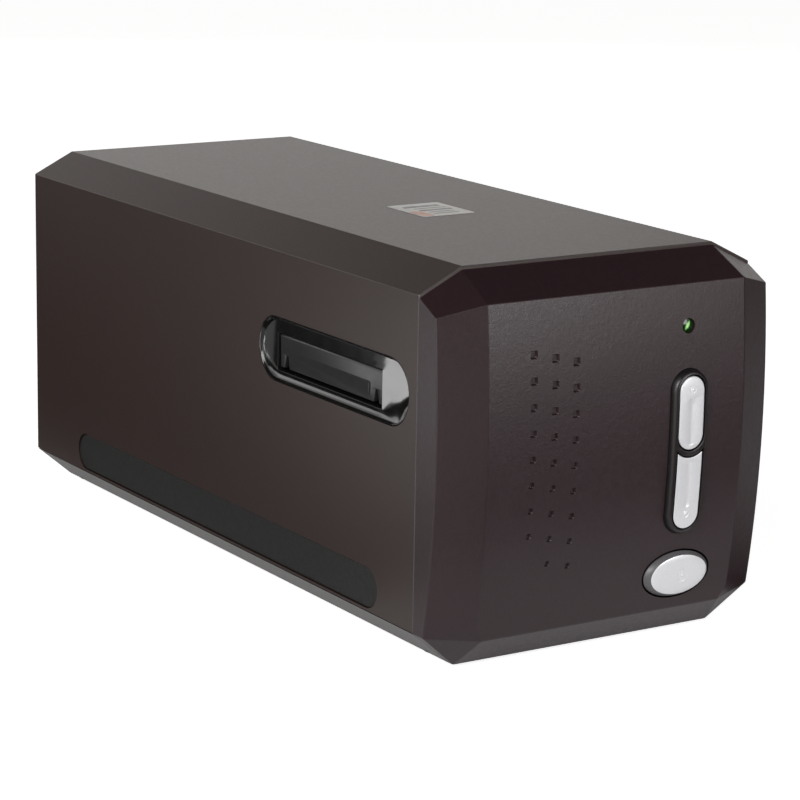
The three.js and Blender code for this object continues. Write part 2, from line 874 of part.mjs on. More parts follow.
// Behind the guides the lower button ends below the upper one's flange.
function upperFlangeRoom() {
  const column = scanButtonColumn(buttonFlangeRim + overrun);
  const capBack = guideDepth + runningGap;
  const bottom = scanButtonColumn(0).top - upperButtonHeight - buttonFlangeRim - runningGap;
  const shape = rectangle(surroundX, (column.top + bottom) / 2, column.width, column.top - bottom);
  return panelPrism(shape, capBack - runningGap, capBack + buttonFlange + overrun);
}

function upperStemZ() {
  return scanButtonColumn(0).top - upperButtonHeight / 2;
}

function lowerStemZ() {
  const column = scanButtonColumn(0);
  return (column.bottom + column.top - upperButtonHeight) / 2;
}

function powerButton() {
  const capBack = guideDepth + runningGap;
  const radius = powerHoleHeight / 2 - buttonPlay;
  const faceRadius = radius - powerFlank;
  const profile = [
    new THREE.Vector2(0, -buttonProud),
    new THREE.Vector2(faceRadius - powerBevelWidth, -buttonProud + powerBevelDrop / 8),
    new THREE.Vector2(faceRadius, -buttonProud + powerBevelDrop),
    new THREE.Vector2(radius, 0),
    new THREE.Vector2(radius, capBack),
    new THREE.Vector2(radius + buttonFlangeRim, capBack),
    new THREE.Vector2(radius + buttonFlangeRim, capBack + buttonFlange),
    new THREE.Vector2(0, capBack + buttonFlange),
  ];
  const geometry = new THREE.LatheGeometry(profile, 3 * roundSteps);
  geometry.scale((powerHoleWidth / 2 - buttonPlay) / radius, 1, 1);
  geometry.translate(powerX, 0, powerZ);
  return solidOf(ontoPanel(geometry)).add(buttonStem(powerX, powerZ));
}

function statusLight() {
  const base = switchTop() - panelY - panelArc(lightZ) - runningGap;
  const profile = [
    new THREE.Vector2(0, lightSink),
    new THREE.Vector2(lightRadius * lightShoulderShare, lightSink + lightDome / 2),
    new THREE.Vector2(lightRadius, lightSink + lightDome),
    new THREE.Vector2(lightRadius, guideDepth + runningGap),
    new THREE.Vector2(lightRadius / 2, base),
    new THREE.Vector2(0, base),
  ];
  const geometry = new THREE.LatheGeometry(profile, 2 * roundSteps);
  geometry.translate(lightX, panelY + panelArc(lightZ), lightZ);
  return solidOf(geometry);
}

function buttonBoard() {
  const front = panelY + buttonBoardSetback;
  const [low, high] = buttonBoardZ();
  const left = surroundX - buttonBoardWidth / 2;
  const right = surroundX + buttonBoardWidth / 2;
  const parts = [block(left, right, front, front + boardThickness, low, high)];
  const switchPlaces = [
    [surroundX, upperStemZ()],
    [surroundX, lowerStemZ()],
    [powerX, powerZ],
    [lightX, lightZ],
  ];
  for (const [x, z] of switchPlaces) {
    const shape = rectangle(x, z, switchSize, switchSize);
    parts.push(solidOf(alongY(shape, switchTop(), front + boardThickness / 2)));
  }
  return joined(parts);
}

// Film slots

function mouthShape(margin) {
  return rectangle(mouthY, mouthCentreZ, mouthLength + 2 * margin, mouthHeight + 2 * margin);
}

// The dish runs from the round-ended rim down to the corners of the square mouth.
function dishCutter(side) {
  const rim = obround(slotY, slotCentreZ, slotLength - 2 * slotRimWidth, slotHeight - 2 * slotRimWidth);
  const points = [];
  for (const point of rim.getPoints(roundSteps)) {
    for (const depth of [-overrun, slotRimSink]) {
      points.push(new THREE.Vector3(side * (halfWidth - depth), point.x, point.y));
    }
  }
  for (const point of mouthShape(0).getPoints()) {
    points.push(new THREE.Vector3(side * (halfWidth - dishDepth), point.x, point.y));
  }
  return solidOf(new ConvexGeometry(points));
}

function slotBezel(side) {
  const plug = obround(slotY, slotCentreZ, slotLength - 2 * fitGap, slotHeight - 2 * fitGap);
  const flangeFront = housingWall + fitGap;
  const flangeBack = flangeFront + slotFlangeThickness;
  const flangeRim = 2 * slotFlangeWidth;
  const flange = obround(slotY, slotCentreZ, slotLength + flangeRim, slotHeight + flangeRim);
  const body = joined([
    throughSide(plug, side, slotRimSink, flangeBack),
    throughSide(flange, side, flangeFront, flangeBack),
    throughSide(mouthShape(tunnelWall), side, flangeFront, tunnelDepth),
  ]);
  const hingeX = side * (halfWidth - hingeDepth);
  const boreReach = mouthLength / 2 + tunnelWall + runningGap;
  const bore = rodY(hingeX, hingeZ, pinHoleRadius, mouthY - boreReach, mouthY + boreReach);
  const springRoom = springRadius + springWire / 2 + fitGap;
  const pocketStart = mouthY + mouthLength / 2 + tunnelWall;
  const pocketEnd = pocketStart - tunnelWall + doorPinLength + runningGap;
  const pocketY = (pocketStart + pocketEnd) / 2;
  const pocketBack = rectangle(pocketY, hingeZ, pocketEnd - pocketStart, 2 * springRoom);
  return without(body, [
    throughSide(mouthShape(0), side, -overrun, tunnelDepth + overrun),
    dishCutter(side),
    bore,
    rodY(hingeX, hingeZ, springRoom, pocketStart, pocketEnd),
    throughSide(pocketBack, side, hingeDepth, flangeBack + overrun),
  ]);
}

function notchCutter(side, y) {
  const bottom = mouthBottomZ;
  const tip = mouthBottomZ + doorBottomGap + doorNotchHeight;
  const shape = polygon([
    new THREE.Vector2(y - doorNotchWidth / 2, bottom),
    new THREE.Vector2(y + doorNotchWidth / 2, bottom),
    new THREE.Vector2(y + doorNotchWidth / 6, tip),
    new THREE.Vector2(y - doorNotchWidth / 6, tip),
  ]);
  return throughSide(shape, side, doorDepth - overrun, doorDepth + doorThickness + overrun);
}

function slotDoor(side) {
  const half = mouthLength / 2 - doorSideGap;
  const hingeX = side * (halfWidth - hingeDepth);
  const leafHeight = hingeZ - mouthBottomZ - doorBottomGap;
  const leaf = rectangle(mouthY, hingeZ - leafHeight / 2, 2 * half, leafHeight);
  const pinReach = half + doorSideGap + doorPinLength - runningGap;
  const notchPlace = half - doorNotchFromEnd - doorNotchWidth / 2;
  return without(
    joined([
      throughSide(leaf, side, doorDepth, doorDepth + doorThickness),
      rodY(hingeX, hingeZ, doorBarrelRadius, mouthY - half, mouthY + half),
      rodY(hingeX, hingeZ, doorPinRadius, mouthY - half - tunnelWall, mouthY + pinReach),
    ]),
    [notchCutter(side, mouthY - notchPlace), notchCutter(side, mouthY + notchPlace)],
  );
}

// A coil of wire about an axis along y; both ends leave as straight legs towards the inside.
class TorsionSpringCurve extends THREE.Curve {
  constructor(side) {
    super();
    this.side = side;
  }

  getPoint(t, target = new THREE.Vector3()) {
    const legShare = 1 / (springTurns + 2);
    const firstLeg = Math.max(legShare - t, 0) / legShare * springLeg;
    const lastLeg = Math.max(t - 1 + legShare, 0) / legShare * springLeg;
    const coilShare = Math.min(Math.max((t - legShare) / (1 - 2 * legShare), 0), 1);
    const turns = springTurns * coilShare;
    const angle = Math.PI + 2 * Math.PI * turns;
    return target.set(
      -this.side * (springRadius * Math.sin(angle) + firstLeg + lastLeg),
      springPitch * turns,
      springRadius * Math.cos(angle),
    );
  }
}

function doorSpring(side) {
  const start = mouthY + mouthLength / 2 + tunnelWall + springWire;
  const steps = Math.ceil(wireStepsPerTurn * (springTurns + 2));
  const geometry = wire(new TorsionSpringCurve(side), springWire / 2, steps);
  geometry.translate(side * (halfWidth - hingeDepth), start, hingeZ);
  return solidOf(geometry);
}

function sideStrip(side) {
  const length = stripLength - 2 * fitGap;
  const height = stripHeight - 2 * fitGap;
  const shape = obround(stripY, stripCentreZ, length, height);
  return throughSide(shape, side, stripRecess - stripThickness, stripRecess);
}

// Rear panel and what stands behind it

function rearPanel() {
  const plate = polygon(insetOutline(housingOutline(), housingWall + fitGap));
  const slotZ = sideTopZ - screwFromSide;
  const cutters = [
    rectangle(usbX, usbZ, usbWidth + 2 * fitGap, usbHeight + 2 * fitGap),
    disc(jackX, jackZ, jackBodySize / 2 + fitGap),
    obround(securitySlotX, slotZ, securitySlotWidth, securitySlotHeight),
  ].map((shape) => solidOf(alongY(shape, rearPanelY - overrun, backY)));
  return without(solidOf(alongY(plate, rearPanelY, rearPanelY + rearThickness)), cutters);
}

function usbSocket() {
  const front = mainBoardY + boardThickness;
  const mouth = rearPanelY + rearThickness;
  const cavity = rectangle(usbX, usbZ, usbWidth - 2 * usbWall, usbHeight - 2 * usbWall);
  const shell = solidOf(alongY(rectangle(usbX, usbZ, usbWidth, usbHeight), front, mouth));
  const hollow = solidOf(alongY(cavity, front + socketBack, mouth + overrun));
  const tongueShape = rectangle(usbX, usbZ, usbTongueWidth, usbTongueHeight);
  const tongue = solidOf(alongY(tongueShape, front + socketBack / 2, mouth - usbTongueRecess));
  return shell.subtract(hollow).add(tongue);
}

function powerSocket() {
  const front = mainBoardY + boardThickness;
  const mouth = rearPanelY + rearThickness;
  const square = rectangle(jackX, jackZ, jackBodySize, jackBodySize);
  const body = solidOf(alongY(square, front, rearPanelY - fitGap));
  const nose = rodY(jackX, jackZ, jackBodySize / 2, front, mouth);
  const bore = rodY(jackX, jackZ, jackBore, front + socketBack, mouth + overrun);
  const pin = rodY(jackX, jackZ, jackPinRadius, front + socketBack / 2, mouth - jackPinRecess);
  return body.add(nose).subtract(bore).add(pin);
}

function mainBoard() {
  const front = mainBoardY;
  const back = mainBoardY + boardThickness;
  const half = mainBoardWidth / 2;
  const top = mainBoardBottom + mainBoardHeight;
  const seat = front + boardThickness / 2;
  const chip = (x, z, size) => solidOf(alongY(rectangle(x, z, size, size), seat, back + chipHeight));
  const capacitor = (x, z) => rodY(x, z, capacitorRadius, seat, back + capacitorHeight);
  return joined([
    block(-half, half, front, back, mainBoardBottom, top),
    chip(0, top - chipSize, chipSize),
    chip(-chipSpacing, top - chipSize, chipSize / 2),
    chip(half - chipSize, top - chipSize, chipSize / 2),
    capacitor(half - 2 * capacitorRadius, jackZ),
    capacitor(half - 2 * capacitorRadius, jackZ + 3 * capacitorRadius),
  ]);
}

// Film channel: a floor with two walls, and a roof, both with the light opening

function apertureCutter() {
  const shape = rectangle(0, mouthY, lightWindowWidth, apertureDepth);
  return solidOf(alongZ(shape, channelFloorZ - 2 * channelWall, channelRoofZ + 2 * channelWall));
}

function detentY() {
  return mouthY + channelHalf - detentFromEdge;
}

function filmChannel() {
  const outer = channelHalf + channelWall;
  const floor = block(
    -channelEnd, channelEnd, mouthY - outer, mouthY + outer, channelFloorZ - channelWall, channelFloorZ,
  );
  const walls = [-1, 1].map((end) => {
    const inner = mouthY + end * channelHalf;
    const far = mouthY + end * outer;
    return block(
      -channelEnd, channelEnd, Math.min(inner, far), Math.max(inner, far),
      channelFloorZ - channelWall, channelRoofZ,
    );
  });
  const cupRadius = detentFlangeRadius + runningGap;
  const cupFloor = channelFloorZ - channelWall - detentCupDepth;
  const cup = rodZ(detentX, detentY(), cupRadius + detentCupWall, cupFloor - detentCupWall, channelFloorZ);
  return without(joined([floor, ...walls, cup]), [
    apertureCutter(),
    rodZ(detentX, detentY(), cupRadius, cupFloor, channelFloorZ - channelWall / 2),
    rodZ(detentX, detentY(), detentRadius + runningGap, cupFloor, channelFloorZ + overrun),
    rodZ(detentX, detentY(), detentRadius / 2, cupFloor - 2 * detentCupWall, channelFloorZ),
  ]);
}

function filmChannelRoof() {
  const outer = channelHalf + channelWall;
  const bottom = channelRoofZ + fitGap;
  const plate = rectangle(0, mouthY, 2 * channelEnd, 2 * outer);
  return solidOf(alongZ(plate, bottom, bottom + channelWall)).subtract(apertureCutter());
}

function detentFlangeTop() {
  return channelFloorZ - channelWall / 2 - runningGap;
}

function detentPlunger() {
  const top = channelFloorZ + detentProud;
  const flangeTop = detentFlangeTop();
  const profile = [
    new THREE.Vector2(0, flangeTop - detentFlange),
    new THREE.Vector2(detentFlangeRadius, flangeTop - detentFlange),
    new THREE.Vector2(detentFlangeRadius, flangeTop),
    new THREE.Vector2(detentRadius, flangeTop),
    new THREE.Vector2(detentRadius, top - detentRadius / 2),
    new THREE.Vector2(detentRadius * detentShoulderShare, top - detentRadius / 8),
    new THREE.Vector2(0, top),
  ];
  const geometry = new THREE.LatheGeometry(profile, 2 * roundSteps);
  geometry.rotateX(Math.PI / 2);
  geometry.translate(detentX, detentY(), 0);
  return solidOf(geometry);
}

class CoilCurve extends THREE.Curve {
  constructor(radius, height, turns) {
    super();
    this.radius = radius;
    this.height = height;
    this.turns = turns;
  }

  getPoint(t, target = new THREE.Vector3()) {
    const angle = 2 * Math.PI * this.turns * t;
    return target.set(this.radius * Math.cos(angle), this.radius * Math.sin(angle), this.height * t);
  }
}

function detentSpring() {
  const floor = channelFloorZ - channelWall - detentCupDepth + springWire / 2 + fitGap;
  const height = detentFlangeTop() - detentFlange - fitGap - springWire / 2 - floor;
  const curve = new CoilCurve(detentSpringRadius, height, detentSpringTurns);
  const geometry = wire(curve, springWire / 2, wireStepsPerTurn * detentSpringTurns);
  geometry.translate(detentX, detentY(), floor);
  return solidOf(geometry);
}

// Scan frame: floor, rail walls, film posts and the drive bracket

function standoffPlaces() {
  const x = frameWidth / 2 - screwPostRadius - frameWall;
  return [
    [-x, frameFront + standoffFromEnd],
    [x, frameFront + standoffFromEnd],
    [-x, frameBack - standoffFromEnd],
    [x, frameBack - standoffFromEnd],
  ];
}

function scanFrame() {
  const half = frameWidth / 2;
  const bottom = frameFloorZ + fitGap;
  const floorTop = bottom + frameFloor;
  const wallTop = floorTop + frameWallHeight;
  const bracketFace = bracketX + bracketThickness;
  const bracketTop = pinionZ + motorEarReach + motorEarRadius;
  const parts = [
    block(-half, half, frameFront, frameBack, bottom, floorTop),
    block(-half, bracketFace, frameFront, railFront, bottom, wallTop),
    block(-half, bracketFace, railBack, railBack + frameWall, bottom, wallTop),
    block(bracketX, bracketFace, frameFront, idlerY + 2 * pulleyRadius, bottom, wallTop),
    block(bracketX, bracketFace, railBack, frameBack, bottom, bracketTop),
  ];
  const postTop = channelFloorZ - channelWall - fitGap;
  for (const side of [-1, 1]) {
    const outer = side * half;
    const inner = side * (half - filmPostWidth);
    for (const end of [-1, 1]) {
      const y = mouthY + end * (channelHalf + channelWall - filmPostLength / 2);
      parts.push(block(
        Math.min(outer, inner), Math.max(outer, inner),
        y - filmPostLength / 2, y + filmPostLength / 2,
        bottom, postTop,
      ));
    }
  }
  const axleStart = bracketX + bracketThickness / 2;
  parts.push(rodX(gearY, gearZ, axleRadius, axleStart, gearX + gearWidth + axleProud));
  parts.push(rodX(idlerY, gearZ, axleRadius, axleStart, gearX + axleProud));
  const bossRadius = motorBossRadius + fitGap;
  const cutters = [rodX(pinionY, pinionZ, bossRadius, bracketX - overrun, bracketFace + overrun)];
  const seatRadius = rodRadius + fitGap;
  for (const side of [-1, 1]) {
    const x = side * rodSpacing / 2;
    cutters.push(rodY(x, rodHeight, seatRadius, railFront - rodSeatDepth, railFront + overrun));
    cutters.push(rodY(x, rodHeight, seatRadius, railBack - overrun, railBack + rodSeatDepth));
  }
  return without(joined(parts), cutters);
}

function guideRod(side) {
  const start = railFront - rodSeatDepth + fitGap;
  const end = railBack + rodSeatDepth - fitGap;
  return rodY(side * rodSpacing / 2, rodHeight, rodRadius, start, end);
}

// Optics carriage: an open tray with rod lugs, a sloping mirror seat, a lens saddle and a belt clip

function carriageFront() {
  return scanLineY - carriageFrontReach;
}

function lugPlaces() {
  return [carriageFront() + lugLength, carriageBack - 2 * lugLength];
}

function opticsCarriage() {
  const half = carriageWidth / 2;
  const front = carriageFront();
  const outside = block(-half, half, front, carriageBack, carriageBottom, carriageTop);
  const inside = block(
    carriageWall - half, half - carriageWall, front + carriageWall, carriageBack + overrun,
    carriageBottom + carriageWall, carriageTop + overrun,
  );
  const parts = [outside.subtract(inside), mirrorSeat(), lensSaddle()];
  const lugRadius = rodRadius + runningGap + lugWall;
  for (const y of lugPlaces()) {
    for (const side of [-1, 1]) {
      const x = side * rodSpacing / 2;
      const root = side * (half - carriageWall / 2);
      parts.push(rodY(x, rodHeight, lugRadius, y, y + lugLength));
      parts.push(block(
        Math.min(x, root), Math.max(x, root), y, y + lugLength,
        rodHeight + rodRadius + 2 * runningGap, carriageBottom + 2 * carriageWall,
      ));
    }
  }
  parts.push(beltClip());
  const rodHoles = [-1, 1].map((side) => (
    rodY(side * rodSpacing / 2, rodHeight, rodRadius + runningGap, front - overrun, carriageBack + overrun)
  ));
  return without(joined(parts), rodHoles);
}

// The seat is a wedge under the mirror, whose face leans back at 45 degrees.
function mirrorSeat() {
  const reach = mirrorLength / 2 * Math.SQRT1_2;
  const behind = (mirrorThickness / 2 + fitGap) * Math.SQRT2;
  const bottom = carriageBottom + carriageWall / 2;
  const low = opticalAxisZ - reach;
  const high = opticalAxisZ + reach;
  const shape = polygon([
    new THREE.Vector2(scanLineY - reach - behind, high),
    new THREE.Vector2(carriageFront() + carriageWall / 2, high),
    new THREE.Vector2(carriageFront() + carriageWall / 2, bottom),
    new THREE.Vector2(scanLineY + reach, bottom),
    new THREE.Vector2(scanLineY + reach, low - behind),
  ]);
  return solidOf(alongX(shape, -mirrorWidth / 2, mirrorWidth / 2));
}

function foldMirror() {
  const geometry = new THREE.BoxGeometry(mirrorWidth, mirrorLength, mirrorThickness);
  geometry.rotateX(-Math.PI / 4);
  geometry.translate(0, scanLineY, opticalAxisZ);
  return solidOf(geometry);
}

function lensSaddle() {
  const y = lensY + (lensLength - saddleLength) / 2;
  const top = opticalAxisZ - lensRadius / 2;
  const bottom = carriageBottom + carriageWall / 2;
  const saddle = block(-saddleWidth / 2, saddleWidth / 2, y, y + saddleLength, bottom, top);
  const seat = rodY(0, opticalAxisZ, lensRadius + fitGap, y - overrun, y + saddleLength + overrun);
  return saddle.subtract(seat);
}

function beltTopZ() {
  return gearZ + pulleyRadius + runningGap + beltThickness;
}

function beltClip() {
  const half = carriageWidth / 2;
  const bottom = beltTopZ() + fitGap;
  const top = carriageBottom + 2 * carriageWall;
  const [, backLug] = lugPlaces();
  const front = backLug + lugLength - carriageWall;
  return block(half - carriageWall / 2, beltPlaneX + beltWidth / 2, front, front + lugLength, bottom, top);
}

function opticsLid() {
  const half = carriageWidth / 2;
  const bottom = carriageTop + fitGap;
  const plate = block(-half, half, carriageFront(), carriageBack, bottom, bottom + lidThickness);
  const window = rectangle(0, scanLineY, lightWindowWidth, lightWindowLength);
  return plate.subtract(solidOf(alongZ(window, bottom - overrun, bottom + lidThickness + overrun)));
}

function lensBarrel() {
  const profile = [
    new THREE.Vector2(lensBore, 0),
    new THREE.Vector2(lensEndRadius, 0),
    new THREE.Vector2(lensEndRadius, lensEndLength),
    new THREE.Vector2(lensRadius, lensEndLength + lensShoulder),
    new THREE.Vector2(lensRadius, lensLength - lensEndLength - lensShoulder),
    new THREE.Vector2(lensEndRadius, lensLength - lensEndLength),
    new THREE.Vector2(lensEndRadius, lensLength),
    new THREE.Vector2(lensBore, lensLength),
    new THREE.Vector2(lensBore, 0),
  ];
  const geometry = new THREE.LatheGeometry(profile, 2 * roundSteps);
  geometry.translate(0, lensY, opticalAxisZ);
  return solidOf(geometry);
}

function lensGlass() {
  const radius = lensBore - fitGap;
  const middle = lensY + lensLength / 4;
  const profile = [];
  for (let index = 0; index <= lensGlassSteps; index += 1) {
    const share = index / lensGlassSteps;
    profile.push(new THREE.Vector2(radius * share, middle - lensThickness / 2 * (1 - share * share / 2)));
  }
  for (let index = lensGlassSteps; index >= 0; index -= 1) {
    const share = index / lensGlassSteps;
    profile.push(new THREE.Vector2(radius * share, middle + lensThickness / 2 * (1 - share * share / 2)));
  }
  const geometry = new THREE.LatheGeometry(profile, 2 * roundSteps);
  geometry.translate(0, 0, opticalAxisZ);
  return solidOf(geometry);
}

function sensorBoard() {
  const half = carriageWidth / 2 - carriageWall - fitGap;
  const bottom = carriageBottom + carriageWall + fitGap;
  const front = carriageBack - 2 * boardThickness;
  const sensor = rectangle(0, opticalAxisZ, sensorLength, sensorHeight);
  return joined([
    block(-half, half, front, front + boardThickness, bottom, carriageTop - fitGap),
    solidOf(alongY(sensor, front - 2 * boardThickness, front + boardThickness / 2)),
  ]);
}

function lampPostY() {
  return mouthY + channelHalf + channelWall + travel + 2 * runningGap;
}

function lampPost() {
  const half = lampPostWidth / 2;
  const bottom = carriageTop + 2 * fitGap + lidThickness;
  const y = lampPostY();
  const foot = block(-half, half, y, y + 2 * lampPostDepth, bottom, bottom + lidThickness);
  return foot.add(block(-half, half, y, y + lampPostDepth, bottom, lampBottom - fitGap));
}

function lampHousing() {
  const half = carriageWidth / 2;
  const front = scanLineY - lampReach;
  const back = lampPostY() + lampPostDepth;
  const body = block(-half, half, front, back, lampBottom, lampBottom + lampHeight);
  const pocket = block(
    lampWall - half, half - lampWall, front + lampWall, scanLineY + lampReach,
    lampBottom - overrun, lampBottom + lampHeight - lampWall,
  );
  return body.subtract(pocket);
}

function lampBoard() {
  const half = carriageWidth / 2 - lampWall - fitGap;
  const top = lampBottom + lampHeight - lampWall - fitGap;
  const reach = lampReach - lampWall - fitGap;
  return block(-half, half, scanLineY - reach, scanLineY + reach, top - lampBoardThickness, top);
}

function lampDiffuser() {
  const half = carriageWidth / 2 - lampWall - fitGap;
  const reach = lampReach - lampWall - fitGap;
  const top = lampBottom + diffuserThickness;
  return block(-half, half, scanLineY - reach, scanLineY + reach, lampBottom, top);
}

// Drive: motor pinion, gear with pulley, idler and belt

// An involute gear's outline about the origin; a tooth is centred on the angle phase.
function gearShape(teeth, phase) {
  const pitch = gearModule * teeth / 2;
  const base = pitch * Math.cos(THREE.MathUtils.degToRad(pressureAngle));
  const tip = pitch + gearModule * toothTipShare;
  const root = pitch - gearModule * toothRootShare;
  const involute = (radius) => {
    const roll = Math.sqrt(Math.max((radius / base) ** 2 - 1, 0));
    return roll - Math.atan(roll);
  };
  const halfTooth = Math.PI / (2 * teeth) - toothBacklash / 2 / pitch + involute(pitch);
  const radii = [root, pitch, tip];
  const points = [];
  for (let tooth = 0; tooth < teeth; tooth += 1) {
    const centre = phase + 2 * Math.PI * tooth / teeth;
    const flank = radii.map((radius) => [radius, halfTooth - involute(radius)]);
    for (const [radius, angle] of flank) {
      points.push(new THREE.Vector2(radius * Math.cos(centre - angle), radius * Math.sin(centre - angle)));
    }
    for (const [radius, angle] of flank.reverse()) {
      points.push(new THREE.Vector2(radius * Math.cos(centre + angle), radius * Math.sin(centre + angle)));
    }
  }
  return polygon(points);
}

function placedAlongX(shape, y, z, x0, x1) {
  const geometry = alongX(shape, x0, x1);
  geometry.translate(0, y, z);
  return solidOf(geometry);
}

// Direction from the gear to the pinion; the gear has a tooth there and the pinion a gap.
function meshAngle() {
  return Math.atan2(pinionRise, pinionY - gearY);
}

function pulleyParts(y) {
  const low = beltPlaneX - pulleyWidth / 2;
  const high = beltPlaneX + pulleyWidth / 2;
  const rim = pulleyRadius + pulleyRim;
  return [
    rodX(y, gearZ, pulleyRadius, low, high),
    rodX(y, gearZ, rim, low - pulleyRimThickness, low),
    rodX(y, gearZ, rim, high, high + pulleyRimThickness),
  ];
}

function driveGear() {
  const wheel = placedAlongX(gearShape(gearTeeth, meshAngle()), gearY, gearZ, gearX, gearX + gearWidth);
  const bore = rodX(gearY, gearZ, axleRadius + runningGap, bracketX, gearX + gearWidth + overrun);
  return joined([...pulleyParts(gearY), wheel]).subtract(bore);
}

function idlerPulley() {
  const bore = rodX(idlerY, gearZ, axleRadius + runningGap, bracketX, gearX + overrun);
  return joined(pulleyParts(idlerY)).subtract(bore);
}

function motorPinion() {
  const phase = meshAngle() + Math.PI + Math.PI / pinionTeeth;
  const wheel = placedAlongX(gearShape(pinionTeeth, phase), pinionY, pinionZ, gearX, gearX + gearWidth);
  const shaftEnd = gearX + gearWidth + axleProud;
  return wheel.add(rodX(pinionY, pinionZ, motorShaftRadius, bracketX, shaftEnd));
}

function stepperMotor() {
  const front = bracketX - fitGap;
  const flangeShape = obround(pinionY, pinionZ, 2 * motorEarRadius, 2 * (motorEarReach + motorEarRadius));
  const can = rodX(pinionY, pinionZ, motorRadius, front - motorLength, front);
  const flange = solidOf(alongX(flangeShape, front - motorEarThickness, front));
  const bossEnd = front + bracketThickness / 2;
  const boss = rodX(pinionY, pinionZ, motorBossRadius, front - motorEarThickness, bossEnd);
  const roomRadius = motorShaftRadius + runningGap;
  const shaftRoom = rodX(pinionY, pinionZ, roomRadius, bracketX - runningGap, bossEnd + overrun);
  return joined([can, flange, boss]).subtract(shaftRoom);
}

function driveBelt() {
  const inner = pulleyRadius + runningGap;
  const outer = inner + beltThickness;
  const length = gearY - idlerY;
  const middle = (gearY + idlerY) / 2;
  const shape = obround(middle, gearZ, length + 2 * outer, 2 * outer);
  const inside = obround(middle, gearZ, length + 2 * inner, 2 * inner);
  shape.holes.push(new THREE.Path(inside.getPoints(roundSteps)));
  return solidOf(alongX(shape, beltPlaneX - beltWidth / 2, beltPlaneX + beltWidth / 2));
}

function ribbonCable() {
  const start = panelY + buttonBoardSetback + boardThickness + fitGap;
  const drop = start + ribbonDrop;
  const end = mainBoardY - fitGap;
  const [boardLow] = buttonBoardZ();
  const startZ = boardLow + ribbonThickness;
  const endTop = mainBoardBottom + ribbonEndHeight;
  const startTop = startZ + ribbonWidth / 2;
  const shape = polygon([
    new THREE.Vector2(start, startTop),
    new THREE.Vector2(start, startZ),
    new THREE.Vector2(drop, startZ),
    new THREE.Vector2(drop, ribbonZ),
    new THREE.Vector2(end, ribbonZ),
    new THREE.Vector2(end, endTop),
    new THREE.Vector2(end - ribbonThickness, endTop),
    new THREE.Vector2(end - ribbonThickness, ribbonZ + ribbonThickness),
    new THREE.Vector2(drop + ribbonThickness, ribbonZ + ribbonThickness),
    new THREE.Vector2(drop + ribbonThickness, startZ + ribbonThickness),
    new THREE.Vector2(start + ribbonThickness, startZ + ribbonThickness),
    new THREE.Vector2(start + ribbonThickness, startTop),
  ]);
  return solidOf(alongX(shape, ribbonX, ribbonX + ribbonWidth));
}

// Materials

function finish(color, roughness, metalness = 0) {
  return new THREE.MeshStandardMaterial({ color, roughness, metalness });
}

const finishes = {
  housing: finish(0x3c3230, 0.55),
  base: finish(0x4a4441, 0.6),
  gloss: finish(0x17191a, 0.15),
  door: finish(0x26292a, 0.3),
  rubber: finish(0x1d1d1c, 0.8),
  silver: finish(0xc9c9cb, 0.35, 0.4),
  light: finish(0x7ddc5c, 0.3),
  board: finish(0x2f6b3f, 0.6),
  frame: finish(0x2b2b2b, 0.7),
  steel: finish(0xb4b6b8, 0.3, 1),
  mirror: finish(0xe4e8ea, 0.05, 1),
  glass: finish(0xbfd3d8, 0.05),
  diffuser: finish(0xf0f0ea, 0.5),
  gear: finish(0xe8e4d6, 0.5),
  cable: finish(0xd5d5d0, 0.5),
  socket: finish(0x101010, 0.5),
};

const scanner = new THREE.Group();

function place(name, solid, material) {
  const mesh = new THREE.Mesh(geometryOf(solid), material);
  mesh.name = name;
  scanner.add(mesh);
}

place("upper_cover", upperCover(), finishes.housing);
place("base_tray", baseTray(), finishes.base);
place("front_bezel", frontBezel(), finishes.housing);
place("rear_panel", rearPanel(), finishes.housing);
for (const [name, x, y] of feetPlaces()) {
  place(name, foot(x, y), finishes.rubber);
}
for (const [word, side] of [["left", -1], ["right", 1]]) {
  place(`${word}_slot_bezel`, slotBezel(side), finishes.gloss);
  place(`${word}_slot_door`, slotDoor(side), finishes.door);
  place(`${word}_door_spring`, doorSpring(side), finishes.steel);
  place(`${word}_side_strip`, sideStrip(side), finishes.rubber);
  place(`${word}_guide_rod`, guideRod(side), finishes.steel);
}
place("scan_button_upper", scanButton(upperButtonShape, upperStemZ(), []), finishes.silver);
const lowerButton = scanButton(lowerButtonShape, lowerStemZ(), [upperFlangeRoom()]);
place("scan_button_lower", lowerButton, finishes.silver);
place("power_button", powerButton(), finishes.silver);
place("status_light", statusLight(), finishes.light);
place("button_board", buttonBoard(), finishes.board);
place("film_channel", filmChannel(), finishes.frame);
place("film_channel_roof", filmChannelRoof(), finishes.frame);
place("detent_plunger", detentPlunger(), finishes.gear);
place("detent_spring", detentSpring(), finishes.steel);
place("scan_frame", scanFrame(), finishes.frame);
place("optics_carriage", opticsCarriage(), finishes.frame);
place("optics_lid", opticsLid(), finishes.frame);
place("fold_mirror", foldMirror(), finishes.mirror);
place("lens_barrel", lensBarrel(), finishes.frame);
place("lens_glass", lensGlass(), finishes.glass);
place("sensor_board", sensorBoard(), finishes.board);
place("lamp_post", lampPost(), finishes.steel);
place("lamp_housing", lampHousing(), finishes.frame);
place("lamp_board", lampBoard(), finishes.board);
place("lamp_diffuser", lampDiffuser(), finishes.diffuser);
place("stepper_motor", stepperMotor(), finishes.steel);
place("motor_pinion", motorPinion(), finishes.gear);
place("drive_gear", driveGear(), finishes.gear);
place("idler_pulley", idlerPulley(), finishes.gear);
place("drive_belt", driveBelt(), finishes.rubber);
place("main_board", mainBoard(), finishes.board);
place("usb_socket", usbSocket(), finishes.steel);
place("power_socket", powerSocket(), finishes.socket);
place("ribbon_cable", ribbonCable(), finishes.cable);

export default scanner;
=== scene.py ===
import json
import math

